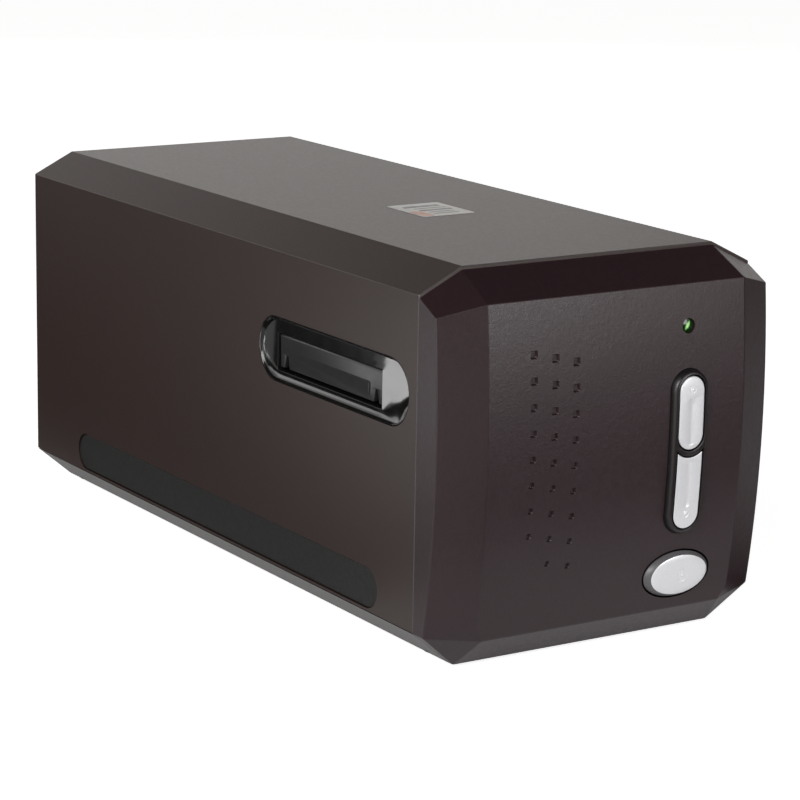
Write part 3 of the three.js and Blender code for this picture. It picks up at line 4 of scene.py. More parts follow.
import bmesh
import bpy
from mathutils import Matrix, Vector
from mathutils.geometry import intersect_line_line_2d


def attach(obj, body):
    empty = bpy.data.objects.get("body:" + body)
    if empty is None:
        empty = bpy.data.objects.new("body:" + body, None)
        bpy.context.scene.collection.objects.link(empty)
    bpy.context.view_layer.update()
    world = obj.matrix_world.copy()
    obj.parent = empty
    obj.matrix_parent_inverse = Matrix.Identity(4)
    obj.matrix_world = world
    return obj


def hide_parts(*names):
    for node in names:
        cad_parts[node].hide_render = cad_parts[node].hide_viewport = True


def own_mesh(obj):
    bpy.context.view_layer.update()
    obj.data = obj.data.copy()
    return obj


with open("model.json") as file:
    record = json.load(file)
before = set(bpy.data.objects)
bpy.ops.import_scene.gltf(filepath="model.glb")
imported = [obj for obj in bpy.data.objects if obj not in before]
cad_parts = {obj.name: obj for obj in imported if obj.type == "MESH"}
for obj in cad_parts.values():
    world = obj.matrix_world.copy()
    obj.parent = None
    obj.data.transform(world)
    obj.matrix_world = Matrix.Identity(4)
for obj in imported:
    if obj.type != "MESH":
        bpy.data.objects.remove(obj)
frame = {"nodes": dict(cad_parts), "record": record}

# Film negative scanner: camera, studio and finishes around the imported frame.
# Sizes in the dictionaries are millimetres; meshes are made in millimetres and scaled once.

mm = 0.001
overrun = 5  # how far a cutter reaches past what it cuts
far = 200  # wider than the whole object
nearAxis = 0.01  # a turned profile starts this close to its axis
weld = 0.002  # points closer than this become one before edges are rounded
flatAngle = math.radians(0.05)  # faces this close in angle become one before edges are rounded
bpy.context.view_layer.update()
print("frame loaded:", len(frame["nodes"]), "nodes")


# Camera, set by the edges and corners of the photograph

camera = {
    "place": (-497.3, -795.2, 270.6),
    "target": (3.4, 1.1, 60.1),
    "roll": math.radians(0.92),
    "lens": 129.7,
    "sensor": 36,
    "clipEnd": 20,
    "shift": (0.0203, -0.0307),
}


def makeCamera():
    data = bpy.data.cameras.new("photoCamera")
    data.lens = camera["lens"]
    data.sensor_width = camera["sensor"]
    data.shift_x, data.shift_y = camera["shift"]
    data.clip_end = camera["clipEnd"]
    place = Vector(camera["place"]) * mm
    back = (place - Vector(camera["target"]) * mm).normalized()
    right = Vector((0, 0, 1)).cross(back).normalized()
    up = back.cross(right)
    turn = camera["roll"]
    turnedRight = right * math.cos(turn) + up * math.sin(turn)
    turnedUp = up * math.cos(turn) - right * math.sin(turn)
    matrix = Matrix((turnedRight, turnedUp, back)).transposed().to_4x4()
    matrix.translation = place
    obj = bpy.data.objects.new("photoCamera", data)
    obj.matrix_world = matrix
    bpy.context.scene.collection.objects.link(obj)
    bpy.context.scene.camera = obj


makeCamera()


# Mesh helpers

def newObject(name, bm, scale=mm):
    bmesh.ops.recalc_face_normals(bm, faces=bm.faces)
    mesh = bpy.data.meshes.new(name)
    bm.to_mesh(mesh)
    bm.free()
    mesh.transform(Matrix.Scale(scale, 4))
    obj = bpy.data.objects.new(name, mesh)
    bpy.context.scene.collection.objects.link(obj)
    return obj


# A new object with a CAD node's own mesh
def nodeCopy(name, node):
    obj = bpy.data.objects.new(name, frame["nodes"][node].data.copy())
    bpy.context.scene.collection.objects.link(obj)
    return obj


# The evaluated mesh takes the place of the stored one
def bakeModifiers(obj):
    bpy.context.view_layer.update()
    graph = bpy.context.evaluated_depsgraph_get()
    mesh = bpy.data.meshes.new_from_object(obj.evaluated_get(graph))
    obj.modifiers.clear()
    old = obj.data
    obj.data = mesh
    bpy.data.meshes.remove(old)


def combine(obj, others, operation="DIFFERENCE"):
    for other in others:
        modifier = obj.modifiers.new("combine", "BOOLEAN")
        modifier.operation = operation
        modifier.solver = "EXACT"
        modifier.object = other
    bakeModifiers(obj)
    for other in others:
        bpy.data.objects.remove(other)
    return obj


# Softens every edge sharper than the angle
def roundEdges(obj, width, angle=50, segments=3):
    bm = bmesh.new()
    bm.from_mesh(obj.data)
    bmesh.ops.remove_doubles(bm, verts=bm.verts, dist=weld * mm)
    bmesh.ops.dissolve_limit(bm, angle_limit=flatAngle, verts=bm.verts, edges=bm.edges)
    bm.to_mesh(obj.data)
    bm.free()
    modifier = obj.modifiers.new("edges", "BEVEL")
    modifier.width = width * mm
    modifier.segments = segments
    modifier.limit_method = "ANGLE"
    modifier.angle_limit = math.radians(angle)
    modifier.miter_outer = "MITER_ARC"
    modifier.use_clamp_overlap = True
    bakeModifiers(obj)
    return obj


def smooth(obj, angle=30):
    obj.data.shade_smooth()
    obj.data.set_sharp_from_angle(angle=math.radians(angle))
    return obj


# Smooth edges between flat faces: the normals of the large faces win
def smoothFlat(obj, angle=30):
    smooth(obj, angle)
    modifier = obj.modifiers.new("flatFaces", "WEIGHTED_NORMAL")
    modifier.keep_sharp = True
    modifier.weight = 100
    bakeModifiers(obj)
    return obj


# A closed outline with its corners rounded by arcs
def filleted(points, radius, steps=5):
    outline = []
    count = len(points)
    straight = math.radians(89)
    for index in range(count):
        corner = Vector(points[index])
        before = (Vector(points[index - 1]) - corner).normalized()
        after = (Vector(points[(index + 1) % count]) - corner).normalized()
        half = math.acos(max(-1, min(1, before.dot(after)))) / 2
        if half > straight:
            outline.append(tuple(corner))
            continue
        reach = radius / math.tan(half)
        centre = corner + (before + after).normalized() * (radius / math.sin(half))
        start = corner + before * reach - centre
        end = corner + after * reach - centre
        sweep = start.angle_signed(end)
        for step in range(steps + 1):
            turned = start.copy()
            turned.rotate(Matrix.Rotation(-sweep * step / steps, 2))
            outline.append(tuple(centre + turned))
    return outline


# A convex outline, counter-clockwise, moved inwards by one distance
def insetOutline(points, inset):
    moved = []
    count = len(points)
    for index in range(count):
        lines = []
        for first, second in ((index - 1, index), (index, (index + 1) % count)):
            start, end = Vector(points[first]), Vector(points[second])
            along = (end - start).normalized()
            shift = Vector((-along.y, along.x)) * inset
            lines.append((start + shift - along * 2 * far, end + shift + along * 2 * far))
        moved.append(tuple(intersect_line_line_2d(*lines[0], *lines[1])))
    return moved


# A slot with round ends; its long side may be either
def obround(a, b, width, height, steps=24):
    radius = min(width, height) / 2
    reachA, reachB = width / 2 - radius, height / 2 - radius
    start = -math.pi / 2 if reachA > reachB else 0
    points = []
    for end, turn in ((1, start), (-1, start + math.pi)):
        for step in range(steps + 1):
            angle = turn + math.pi * step / steps
            points.append((a + end * reachA + radius * math.cos(angle),
                           b + end * reachB + radius * math.sin(angle)))
    return points


def ellipse(a, b, width, height, steps=48):
    return [(a + width / 2 * math.cos(2 * math.pi * step / steps),
             b + height / 2 * math.sin(2 * math.pi * step / steps)) for step in range(steps)]


def rectangle(a, b, width, height):
    return [(a - width / 2, b - height / 2), (a + width / 2, b - height / 2),
            (a + width / 2, b + height / 2), (a - width / 2, b + height / 2)]


# A flat point put at a depth along an axis
def placed(point, depth, axis):
    a, b = point
    return {"x": (depth, a, b), "y": (a, depth, b), "z": (a, b, depth)}[axis]


def between(start, end, share):
    return start[0] + (end[0] - start[0]) * share, start[1] + (end[1] - start[1]) * share


# Joins rings of points, all with the same count, into one skin
def loft(rings, closeStart=True, closeEnd=True):
    bm = bmesh.new()
    rows = [[bm.verts.new(point) for point in ring] for ring in rings]
    count = len(rows[0])
    for low, high in zip(rows, rows[1:]):
        for index in range(count):
            after = (index + 1) % count
            bm.faces.new((low[index], low[after], high[after], high[index]))
    if closeStart:
        bm.faces.new(reversed(rows[0]))
    if closeEnd:
        bm.faces.new(rows[-1])
    return bm


def prism(outline, low, high, axis):
    return loft([[placed(point, depth, axis) for point in outline] for depth in (low, high)])


def prismObject(name, outline, low, high, axis):
    return newObject(name, prism(outline, low, high, axis))


# A profile of (radius, height) pairs, turned about an axis through a point
def turned(profile, centre, axis="z", steps=48):
    rings = []
    for radius, height in profile:
        ring = []
        for step in range(steps):
            angle = 2 * math.pi * step / steps
            a, b = radius * math.cos(angle), radius * math.sin(angle)
            ring.append(tuple(Vector(centre) + Vector(placed((a, b), height, axis))))
        rings.append(ring)
    return loft(rings)


def hull(points):
    bm = bmesh.new()
    for point in points:
        bm.verts.new(point)
    bmesh.ops.convex_hull(bm, input=bm.verts)
    loose = [vert for vert in bm.verts if not vert.link_faces]
    bmesh.ops.delete(bm, geom=loose, context="VERTS")
    return bm


# Finishes. Each is worked out from the object's own coordinates, in metres.

def nodeMaterial(name):
    material = bpy.data.materials.new(name)
    material.use_nodes = True
    tree = material.node_tree
    shader = tree.nodes["Principled BSDF"]
    return material, tree, shader


def addNode(tree, kind, inputs=None, **settings):
    node = tree.nodes.new(kind)
    for key, value in settings.items():
        setattr(node, key, value)
    for key, value in (inputs or {}).items():
        if isinstance(value, bpy.types.NodeSocket):
            tree.links.new(value, node.inputs[key])
        else:
            node.inputs[key].default_value = value
    return node


# Noise whose features are about size metres across
def noise(tree, size, detail=2.0, roughness=0.5, stretch=(1, 1, 1)):
    place = addNode(tree, "ShaderNodeTexCoord").outputs["Object"]
    scale = tuple(part / size for part in stretch)
    mapped = addNode(tree, "ShaderNodeMapping", {"Vector": place, "Scale": scale})
    return addNode(tree, "ShaderNodeTexNoise", {
        "Vector": mapped.outputs["Vector"], "Scale": 1.0, "Detail": detail, "Roughness": roughness,
    }).outputs["Fac"]


# Stretches a 0 to 1 value between two numbers
def ranged(tree, value, low, high):
    return addNode(tree, "ShaderNodeMapRange", {
        "Value": value, "From Min": 0.3, "From Max": 0.7, "To Min": low, "To Max": high,
    }).outputs["Result"]


def mixColour(tree, factor, first, second):
    return addNode(tree, "ShaderNodeMix", {0: factor, 6: first, 7: second}, data_type="RGBA").outputs[2]


def combined(tree, operation, first, second):
    return addNode(tree, "ShaderNodeMath", {0: first, 1: second}, operation=operation).outputs[0]


def addBump(tree, shader, height, strength, distance):
    bump = addNode(tree, "ShaderNodeBump", {"Height": height, "Strength": strength, "Distance": distance})
    tree.links.new(bump.outputs["Normal"], shader.inputs["Normal"])


# Near 1 where an edge is rounded off, near 0 on the flats
def edgeMask(tree, radius, low=0.02, high=0.25):
    bevel = addNode(tree, "ShaderNodeBevel", {"Radius": radius}, samples=4)
    normals = {0: bevel.outputs["Normal"], 1: addNode(tree, "ShaderNodeNewGeometry").outputs["Normal"]}
    dot = addNode(tree, "ShaderNodeVectorMath", normals, operation="DOT_PRODUCT")
    return addNode(tree, "ShaderNodeMapRange", {
        "Value": dot.outputs["Value"], "From Min": 1 - low, "From Max": 1 - high,
        "To Min": 0.0, "To Max": 1.0,
    }).outputs["Result"]


def shade(colour, factor):
    return tuple(part * factor for part in colour[:3]) + (1.0,)


# What a plastic has unless its look says otherwise; the shares are of the grain's size
plain = {
    "shift": 0.04, "patchSize": 0.05, "speck": 0.3, "speckTone": 1.5,
    # The edge values set how much lighter rounded edges are painted, as a highlight
    "edgeRadius": 0.0005, "edgeHighlightShare": 0.25, "edgeHighlightTone": 2.0,
    "ior": 1.5, "metallic": 0.0, "coat": 0.0, "coatRoughness": 0.05,
    "speckShare": 2, "sheenShare": 3, "coarseShare": 3.5,
}


# Moulded plastic: grain of two sizes, a faint shift of tone, rounded edges painted a little lighter as a
# highlight
def plasticFinish(name, look):
    look = {**plain, **look}
    material, tree, shader = nodeMaterial(name)
    colour, grainSize = look["colour"], look["grainSize"]
    patches = ranged(tree, noise(tree, look["patchSize"]), 0.0, 1.0)
    tone = mixColour(tree, patches, shade(colour, 1 - look["shift"]), shade(colour, 1 + look["shift"]))
    specks = ranged(tree, noise(tree, grainSize * look["speckShare"], detail=3), 0.0, look["speck"])
    tone = mixColour(tree, specks, tone, shade(colour, look["speckTone"]))
    # Rounded edges are painted lighter than the flats: a painted highlight
    edgeHighlight = edgeMask(tree, look["edgeRadius"])
    edgeHighlightMix = combined(tree, "MULTIPLY", edgeHighlight, look["edgeHighlightShare"])
    tone = mixColour(tree, edgeHighlightMix, tone, shade(colour, look["edgeHighlightTone"]))
    tree.links.new(tone, shader.inputs["Base Color"])
    sheen = ranged(tree, noise(tree, grainSize * look["sheenShare"]), *look["roughness"])
    tree.links.new(sheen, shader.inputs["Roughness"])
    shader.inputs["IOR"].default_value = look["ior"]
    shader.inputs["Metallic"].default_value = look["metallic"]
    shader.inputs["Coat Weight"].default_value = look["coat"]
    shader.inputs["Coat Roughness"].default_value = look["coatRoughness"]
    fine = noise(tree, grainSize)
    coarse = noise(tree, grainSize * look["coarseShare"])
    addBump(tree, shader, combined(tree, "ADD", fine, coarse), look["grain"], look["grainDepth"])
    return material


metal = {"lineSize": 0.0012, "stretch": (1, 0.05, 1), "tones": (0.82, 1.1), "grain": 0.15,
         "grainDepth": 0.00005}


# Ground or drawn metal: fine lines along one direction and a little colour shift
def metalFinish(name, colour, roughness):
    material, tree, shader = nodeMaterial(name)
    lines = noise(tree, metal["lineSize"], detail=4, roughness=0.6, stretch=metal["stretch"])
    dark, bright = metal["tones"]
    tone = mixColour(tree, ranged(tree, lines, 0.0, 1.0), shade(colour, dark), shade(colour, bright))
    tree.links.new(tone, shader.inputs["Base Color"])
    tree.links.new(ranged(tree, lines, *roughness), shader.inputs["Roughness"])
    shader.inputs["Metallic"].default_value = 1.0
    addBump(tree, shader, lines, metal["grain"], metal["grainDepth"])
    return material


board = {
    "trackScale": 300.0, "trackWidth": 0.06,
    "mask": (0.012, 0.09, 0.03, 1), "maskToo": (0.015, 0.11, 0.035, 1), "track": (0.04, 0.2, 0.07, 1),
    "dust": (0.03, 0.13, 0.05, 1), "dustSize": 0.004, "dustiest": 0.3,
    "roughness": 0.35, "relief": 0.3, "reliefDepth": 0.00004,
}


# Circuit board: green mask with lighter copper tracks under it
def boardFinish(name):
    material, tree, shader = nodeMaterial(name)
    place = addNode(tree, "ShaderNodeTexCoord").outputs["Object"]
    tracks = addNode(tree, "ShaderNodeTexBrick", {
        "Vector": place, "Scale": board["trackScale"], "Mortar Size": board["trackWidth"],
        "Color1": board["mask"], "Color2": board["maskToo"], "Mortar": board["track"],
    })
    dust = ranged(tree, noise(tree, board["dustSize"], detail=3), 0.0, board["dustiest"])
    tone = mixColour(tree, dust, tracks.outputs["Color"], board["dust"])
    tree.links.new(tone, shader.inputs["Base Color"])
    shader.inputs["Roughness"].default_value = board["roughness"]
    addBump(tree, shader, tracks.outputs["Fac"], board["relief"], board["reliefDepth"])
    return material


clear = {"smudgeSize": 0.003, "roughness": (0.01, 0.04), "tintSize": 0.01, "tints": (0.96, 1.04), "ior": 1.5}


# Lens glass with faint smudges
def clearFinish(name, colour):
    material, tree, shader = nodeMaterial(name)
    smudge = ranged(tree, noise(tree, clear["smudgeSize"], detail=3), *clear["roughness"])
    tree.links.new(smudge, shader.inputs["Roughness"])
    dark, bright = clear["tints"]
    tone = mixColour(tree, noise(tree, clear["tintSize"]), shade(colour, dark), shade(colour, bright))
    tree.links.new(tone, shader.inputs["Base Color"])
    shader.inputs["Transmission Weight"].default_value = 1.0
    shader.inputs["IOR"].default_value = clear["ior"]
    return material


looks = {
    "housing": {"colour": (0.029, 0.0165, 0.0142), "roughness": (0.38, 0.42), "grainSize": 0.0003,
                "grain": 0.3, "grainDepth": 0.00005, "edgeHighlightShare": 0.12},
    "panel": {"colour": (0.0215, 0.0105, 0.0128), "roughness": (0.36, 0.42), "grainSize": 0.0005,
              "grain": 0.6, "grainDepth": 0.00007, "edgeHighlightShare": 0.2, "edgeHighlightTone": 2.4, "speck": 0.4},
    "surround": {"colour": (0.012, 0.0085, 0.009), "roughness": (0.28, 0.34), "grainSize": 0.0004,
                 "grain": 0.2, "grainDepth": 0.00004, "edgeHighlightShare": 0.3, "edgeHighlightTone": 2.4},
    "base": {"colour": (0.028, 0.021, 0.019), "roughness": (0.32, 0.38), "grainSize": 0.00035,
             "grain": 0.25, "grainDepth": 0.00004},
    "gloss": {"colour": (0.0075, 0.0075, 0.0072), "roughness": (0.1, 0.14), "grainSize": 0.002,
              "grain": 0.04, "grainDepth": 0.00002, "edgeHighlightShare": 0.2, "edgeHighlightTone": 5},
    "door": {"colour": (0.024, 0.0245, 0.025), "roughness": (0.32, 0.38), "grainSize": 0.0012,
             "grain": 0.06, "grainDepth": 0.00002, "edgeHighlightShare": 0.3, "edgeHighlightTone": 2.5},
    "rubber": {"colour": (0.006, 0.006, 0.0056), "roughness": (0.6, 0.75), "grainSize": 0.0005,
               "grain": 0.5, "grainDepth": 0.00008, "ior": 1.42},
    # Near black, painted on hole walls and on button walls as shade in the gaps
    "cap": {"colour": (0.004, 0.004, 0.0042), "roughness": (0.4, 0.5), "grainSize": 0.0004,
            "grain": 0.2, "grainDepth": 0.00004},
    # A dark copy of the silver, painted on the power button's flank as shade
    "flank": {"colour": (0.13, 0.125, 0.13), "roughness": (0.3, 0.4), "grainSize": 0.00025,
              "grain": 0.2, "grainDepth": 0.00004, "speck": 0.6, "speckTone": 0.6, "edgeHighlightTone": 2.5},
    # A pale copy of the housing plastic, painted on the cover's front edge as a highlight
    "edgeHighlight": {"colour": (0.085, 0.076, 0.073), "roughness": (0.3, 0.4), "grainSize": 0.00025,
               "grain": 0.2, "grainDepth": 0.00004, "speck": 0.6, "speckTone": 0.6, "edgeHighlightTone": 2.5},
    "silver": {"colour": (0.83, 0.83, 0.855), "roughness": (0.3, 0.36), "grainSize": 0.00022,
               "grain": 0.1, "grainDepth": 0.00003, "metallic": 0.2, "edgeHighlightTone": 1.2,
               "speck": 0.4, "speckTone": 0.9, "coat": 0.2},
    "frame": {"colour": (0.017, 0.017, 0.017), "roughness": (0.5, 0.6), "grainSize": 0.0005,
              "grain": 0.4, "grainDepth": 0.00006},
    "gear": {"colour": (0.75, 0.7, 0.58), "roughness": (0.35, 0.45), "grainSize": 0.0006,
             "grain": 0.15, "grainDepth": 0.00003, "edgeHighlightTone": 1.1, "speckTone": 0.92},
    "diffuser": {"colour": (0.82, 0.82, 0.78), "roughness": (0.4, 0.5), "grainSize": 0.0008,
                 "grain": 0.1, "grainDepth": 0.00002, "edgeHighlightTone": 1.05, "speckTone": 0.97},
    "cable": {"colour": (0.55, 0.55, 0.53), "roughness": (0.4, 0.5), "grainSize": 0.0009,
              "grain": 0.25, "grainDepth": 0.00005, "edgeHighlightTone": 1.1, "speckTone": 0.85},
    "socket": {"colour": (0.006, 0.006, 0.006), "roughness": (0.35, 0.45), "grainSize": 0.0005,
               "grain": 0.2, "grainDepth": 0.00004},
}
finishes = {slot: plasticFinish(slot + "Plastic", look) for slot, look in looks.items()}
finishes["steel"] = metalFinish("groundSteel", (0.42, 0.43, 0.44), (0.24, 0.36))
finishes["mirror"] = metalFinish("silveredMirror", (0.78, 0.82, 0.84), (0.02, 0.05))
finishes["board"] = boardFinish("circuitBoard")
finishes["glass"] = clearFinish("lensGlass", (0.85, 0.93, 0.95))
print("finishes made:", len(finishes))


# Gives a piece its finish, the body that it moves with, and the CAD nodes it stands for
def dress(obj, finish, body="housing", replaces=()):
    obj.data.materials.clear()
    obj.data.materials.append(finishes[finish])
    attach(obj, body)
    if replaces:
        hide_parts(*replaces)
    return obj


# The faces that pass a test take another finish
def paintFaces(obj, finish, test):
    index = len(obj.data.materials)
    obj.data.materials.append(finishes[finish])
    for face in obj.data.polygons:
        if test(face):
            face.material_index = index


# Housing: cover and base, one eight-sided tube parted along the seam

housing = {
    "width": 120, "height": 121, "foot": 1.8,
    "topChamfer": (14.6, 7.2), "bottomChamfer": (13, 11),
    "wall": 2.4, "seam": 0.4, "front": -117.95, "back": 137.1, "endChamfer": 0.35,
    "cornerRadius": 0.45, "edgeRadius": 0.25,
    "screwX": 43, "screwY": (-106.7, 125.5), "screwHead": 3.4, "screwDepth": 10,
    "baseEdge": 0.3, "bossRadius": 5, "bossLow": 0.5, "bossHigh": 12,
    "frontHighlightDepth": 0.05, "frontHighlightFacing": -0.95,
    "footX": 34, "footY": (-88.3, 107.1), "footRadius": 8, "footSunk": 0.7,
    "footCurve": ((1.6, 0), (0.9, 0.12), (0.3, 0.5), (0, 1.1)),
}
screw = {"drop": 0.2, "length": 2.2, "sides": 32, "crossDeep": (4, 1), "cross": ((3.2, 0.7), (0.7, 3.2)),
         "curve": ((1.6, 2.2), (2.7, 1.5), (2.8, 0.6), (2.8, 0))}
slotRecess = {"y": -69.9, "z": 82.8, "length": 87.8, "height": 20.8}
stripRecess = {"y": 2.6, "z": 20.15, "length": 201, "height": 12.9, "depth": 1.2, "thickness": 0.8,
               "play": 0.5, "edge": 0.35}


def housingOutline():
    half, top, foot = housing["width"] / 2, housing["height"], housing["foot"]
    topX, topZ = half - housing["topChamfer"][0], top - housing["topChamfer"][1]
    lowX, lowZ = half - housing["bottomChamfer"][0], foot + housing["bottomChamfer"][1]
    return [(-lowX, foot), (lowX, foot), (half, lowZ), (half, topZ),
            (topX, top), (-topX, top), (-half, topZ), (-half, lowZ)]


# The part of the tube above or below the seam
def shellHalf(name, keepAbove):
    front, back, chamfer = housing["front"], housing["back"], housing["endChamfer"]
    inner = filleted(insetOutline(housingOutline(), housing["wall"]), housing["cornerRadius"])
    rings = []
    for y, inset in ((front, chamfer), (front + chamfer, 0), (back - chamfer, 0), (back, chamfer)):
        outline = filleted(insetOutline(housingOutline(), inset), housing["cornerRadius"])
        rings.append([placed(point, y, "y") for point in outline])
    shell = newObject(name, loft(rings))
    hollow = prismObject("hollow", inner, front - overrun, back + overrun, "y")
    seamZ = housing["foot"] + housing["bottomChamfer"][1]
    gap = housing["seam"] / 2
    other = rectangle(0, seamZ - gap + far / 2, 1.5 * far, far)
    if keepAbove:
        other = rectangle(0, 0, 1.5 * far, 2 * (seamZ + gap))
    return combine(shell, [hollow, prismObject("away", other, -far, far, "y")])


# The edge that meets the bezel is painted pale as a highlight
def paintFrontEdgeHighlight(obj):
    reach = housing["front"] + housing["endChamfer"] + housing["frontHighlightDepth"]
    facing = housing["frontHighlightFacing"]
    paintFaces(obj, "edgeHighlight", lambda face: face.center.y / mm < reach and face.normal.y > facing)


def makeCover():
    cover = shellHalf("coverShell", True)
    half = housing["width"] / 2
    slotOutline = obround(slotRecess["y"], slotRecess["z"], slotRecess["length"], slotRecess["height"])
    stripOutline = obround(stripRecess["y"], stripRecess["z"], stripRecess["length"], stripRecess["height"])
    cutters = [prismObject("slotHole", slotOutline, -half - overrun, half + overrun, "x")]
    for side in (-1, 1):
        reach = sorted((side * (half - stripRecess["depth"]), side * (half + overrun)))
        cutters.append(prismObject("stripPocket", stripOutline, *reach, "x"))
    combine(cover, cutters)
    roundEdges(cover, housing["edgeRadius"])
    dress(smoothFlat(cover), "housing", replaces=["upper_cover"])
    paintFrontEdgeHighlight(cover)


def makeBase():
    base = shellHalf("baseShell", False)
    bosses, heads = [], []
    foot, radius, head = housing["foot"], housing["bossRadius"], housing["screwHead"]
    boss = [(radius, foot + housing["bossLow"]), (radius, foot + housing["bossHigh"])]
    for side in (-1, 1):
        for y in housing["screwY"]:
            place = (side * housing["screwX"], y, 0)
            bosses.append(newObject("boss", turned(boss, place)))
            heads.append(newObject("head", turned([(head, 0), (head, foot + housing["screwDepth"])], place)))
    combine(base, bosses, "UNION")
    combine(base, heads)
    roundEdges(base, housing["baseEdge"])
    dress(smoothFlat(base), "base", replaces=["base_tray"])


def makeFeet():
    radius, height = housing["footRadius"], housing["foot"] + housing["footSunk"]
    profile = [(nearAxis, 0)] + [(radius - inset, z) for inset, z in housing["footCurve"]]
    profile += [(radius, height), (nearAxis, height)]
    for word, y in zip(("front", "back"), housing["footY"]):
        for name, side in (("left", -1), ("right", 1)):
            place = (side * housing["footX"], y, 0)
            foot = newObject(f"{name}{word.capitalize()}Foot", turned(profile, place))
            dress(smooth(foot), "rubber", replaces=[f"foot_{word}_{name}"])


def makeScrews():
    top = housing["foot"] + housing["screwDepth"] - screw["drop"]
    profile = [(nearAxis, top - screw["length"])] + [(radius, top - drop) for radius, drop in screw["curve"]]
    profile.append((nearAxis, top))
    low, high = screw["crossDeep"]
    for index, (side, y) in enumerate((side, y) for side in (-1, 1) for y in housing["screwY"]):
        x = side * housing["screwX"]
        obj = newObject(f"caseScrew{index + 1}", turned(profile, (x, y, 0), steps=screw["sides"]))
        cross = [prismObject("cross", rectangle(x, y, *size), top - low, top - high, "z")
                 for size in screw["cross"]]
        combine(obj, cross)
        dress(smooth(obj), "steel")


makeCover()
makeBase()
makeFeet()
makeScrews()
print("housing made")


# Front bezel: bulged panel, facets around it, holes for the buttons and the light

bezel = {
    "apexY": -134.9, "apexZ": 73.4, "bulge": 378, "parting": -118.05,
    "panelWidth": 92.6, "panelTop": 112.4, "panelBottom": 11.3, "panelCorner": 16.4, "panelCornerCut": 2.6,
    "bandSetback": 6.6, "bandTop": 108.5, "footDepth": 1.9,
    "wall": 3, "steps": 24, "edgeRadius": 0.4, "facetAngle": 12, "rear": 2, "innerRear": 3,
    "behind": 9, "behindZ": 60, "blockReach": (-1, 14), "holeEdge": 0.2, "holeAngle": 55,
}
surround = {
    "x": 25.25, "z": 61.3, "width": 13.1, "height": 51.2, "band": 2.05, "groove": 0.13, "back": 3.4,
    "edge": 0.16, "slices": 24, "holeReach": 10,
    "shoulder": [(0, 0.3), (0.04, -0.45), (0.16, -1.0), (0.38, -1.5), (0.7, -1.9), (1.05, -2.12),
                 (1.3, -2.2)],
}
buttons = {
    "proud": 2.2, "play": 0.48, "gap": 2.5, "upperHeight": 22.45, "edge": 0.5, "back": 4.8,
    "edgeAngle": 60, "edgeSegments": 5, "slices": 16, "darkFrom": 0.1, "deepest": 20,
    "grooveRadius": 3.0, "grooveDepth": 0.16, "grooveTip": 1, "grooveShoulder": (0.3, 0.6),
    "markRadius": 0.95, "markWire": 0.2, "upperMark": 4.1, "lowerMark": 4.5,
    "upperGroove": (1.8, 6.6), "lowerGroove": (7.0, 4.2),
}
bead = {"radius": 0.5, "rise": 0.45, "root": 0.3, "lift": 0.02, "steps": 6, "sides": 24}
power = {
    "x": 25.6, "z": 22.6, "width": 25.4, "height": 15.7, "play": 0.6, "flank": 1.0, "bevel": 2.2, "drop": 0.5,
    "crown": 0.03, "bevelSteps": 6, "bevelCurve": 1.7, "step": 0.06, "flankInset": 0.1, "flankTop": -0.3,
    "sides": 96, "markShift": (1.0, -0.3), "markRadius": 1.75, "markWire": 0.26, "ringGap": (1.5, 1.4),
    "gapReach": 2, "barRise": 1.3, "bar": (0.5, 2.3), "barCorner": 0.2, "barProud": 0.5, "barDepth": 0.22,
    "beadDrop": 0.1, "flankEnd": -0.1,
}
light = {
    "x": 25.1, "z": 99.7, "radius": 2.1, "hole": 2.32, "sink": 0.45, "dome": 0.4, "domeSteps": 8, "sides": 40,
    "shoulder": 3.7, "length": 9.0, "leafWay": (0.49, 0.87), "leafLength": 3.4, "leafWidth": 1.6,
    "leafShift": 0.1, "leafBlur": 0.6, "dark": (0.003, 0.022, 0.002, 1), "bright": (0.36, 0.72, 0.25, 1),
    "glow": 0.3, "roughness": 0.15,
}
dimples = {
    "counts": (8, 9, 9), "x": -30.7, "z": 96.5, "columnPitch": 7.5, "rowPitch": 7.75, "stagger": 1.75,
    "topSize": 2.3, "bottomSize": 1.5, "corner": 0.3, "profile": ((-0.5, 1.3), (0.9, 0.78)),
}


def panelArc(z):
    return (z - bezel["apexZ"]) ** 2 / (2 * bezel["bulge"])


def bezelPoints(inset, rearReach):
    points = []

    def add(x, y, z):
        points.extend([(x, y, z), (-x, y, z)])

    for x, z in insetOutline(housingOutline(), inset):
        if x > 0:
            add(x, bezel["parting"] + rearReach, z)
    half = housing["width"] / 2
    lowX = half - housing["bottomChamfer"][0]
    lowZ = housing["foot"] + housing["bottomChamfer"][1]
    add(lowX - inset, bezel["parting"] - bezel["footDepth"] + inset, housing["foot"] + inset)
    steps = bezel["steps"]
    bandLow, bandHigh = lowZ + inset, bezel["bandTop"] - inset
    panelLow, panelHigh = bezel["panelCorner"], bezel["panelTop"] - inset
    panelHalf = bezel["panelWidth"] / 2 - inset
    for index in range(steps + 1):
        bandZ = bandLow + (bandHigh - bandLow) * index / steps
        add(half - inset, bezel["apexY"] + bezel["bandSetback"] + panelArc(bandZ) + inset, bandZ)
        panelZ = panelLow + (panelHigh - panelLow) * index / steps
        add(panelHalf, bezel["apexY"] + panelArc(panelZ) + inset, panelZ)
    bottomZ = bezel["panelBottom"] + inset
    add(panelHalf - bezel["panelCornerCut"], bezel["apexY"] + panelArc(bottomZ) + inset, bottomZ)
    return points


# Everything between two depths behind the bulged panel
def panelSlab(depth0, depth1):
    steps = bezel["steps"]
    front, back = [], []
    for index in range(steps + 1):
        z = housing["height"] * index / steps
        front.append((bezel["apexY"] + panelArc(z) + depth0, z))
        back.append((bezel["apexY"] + panelArc(z) + depth1, z))
    half = housing["width"] / 2
    return prismObject("slab", front + back[::-1], -half, half, "x")


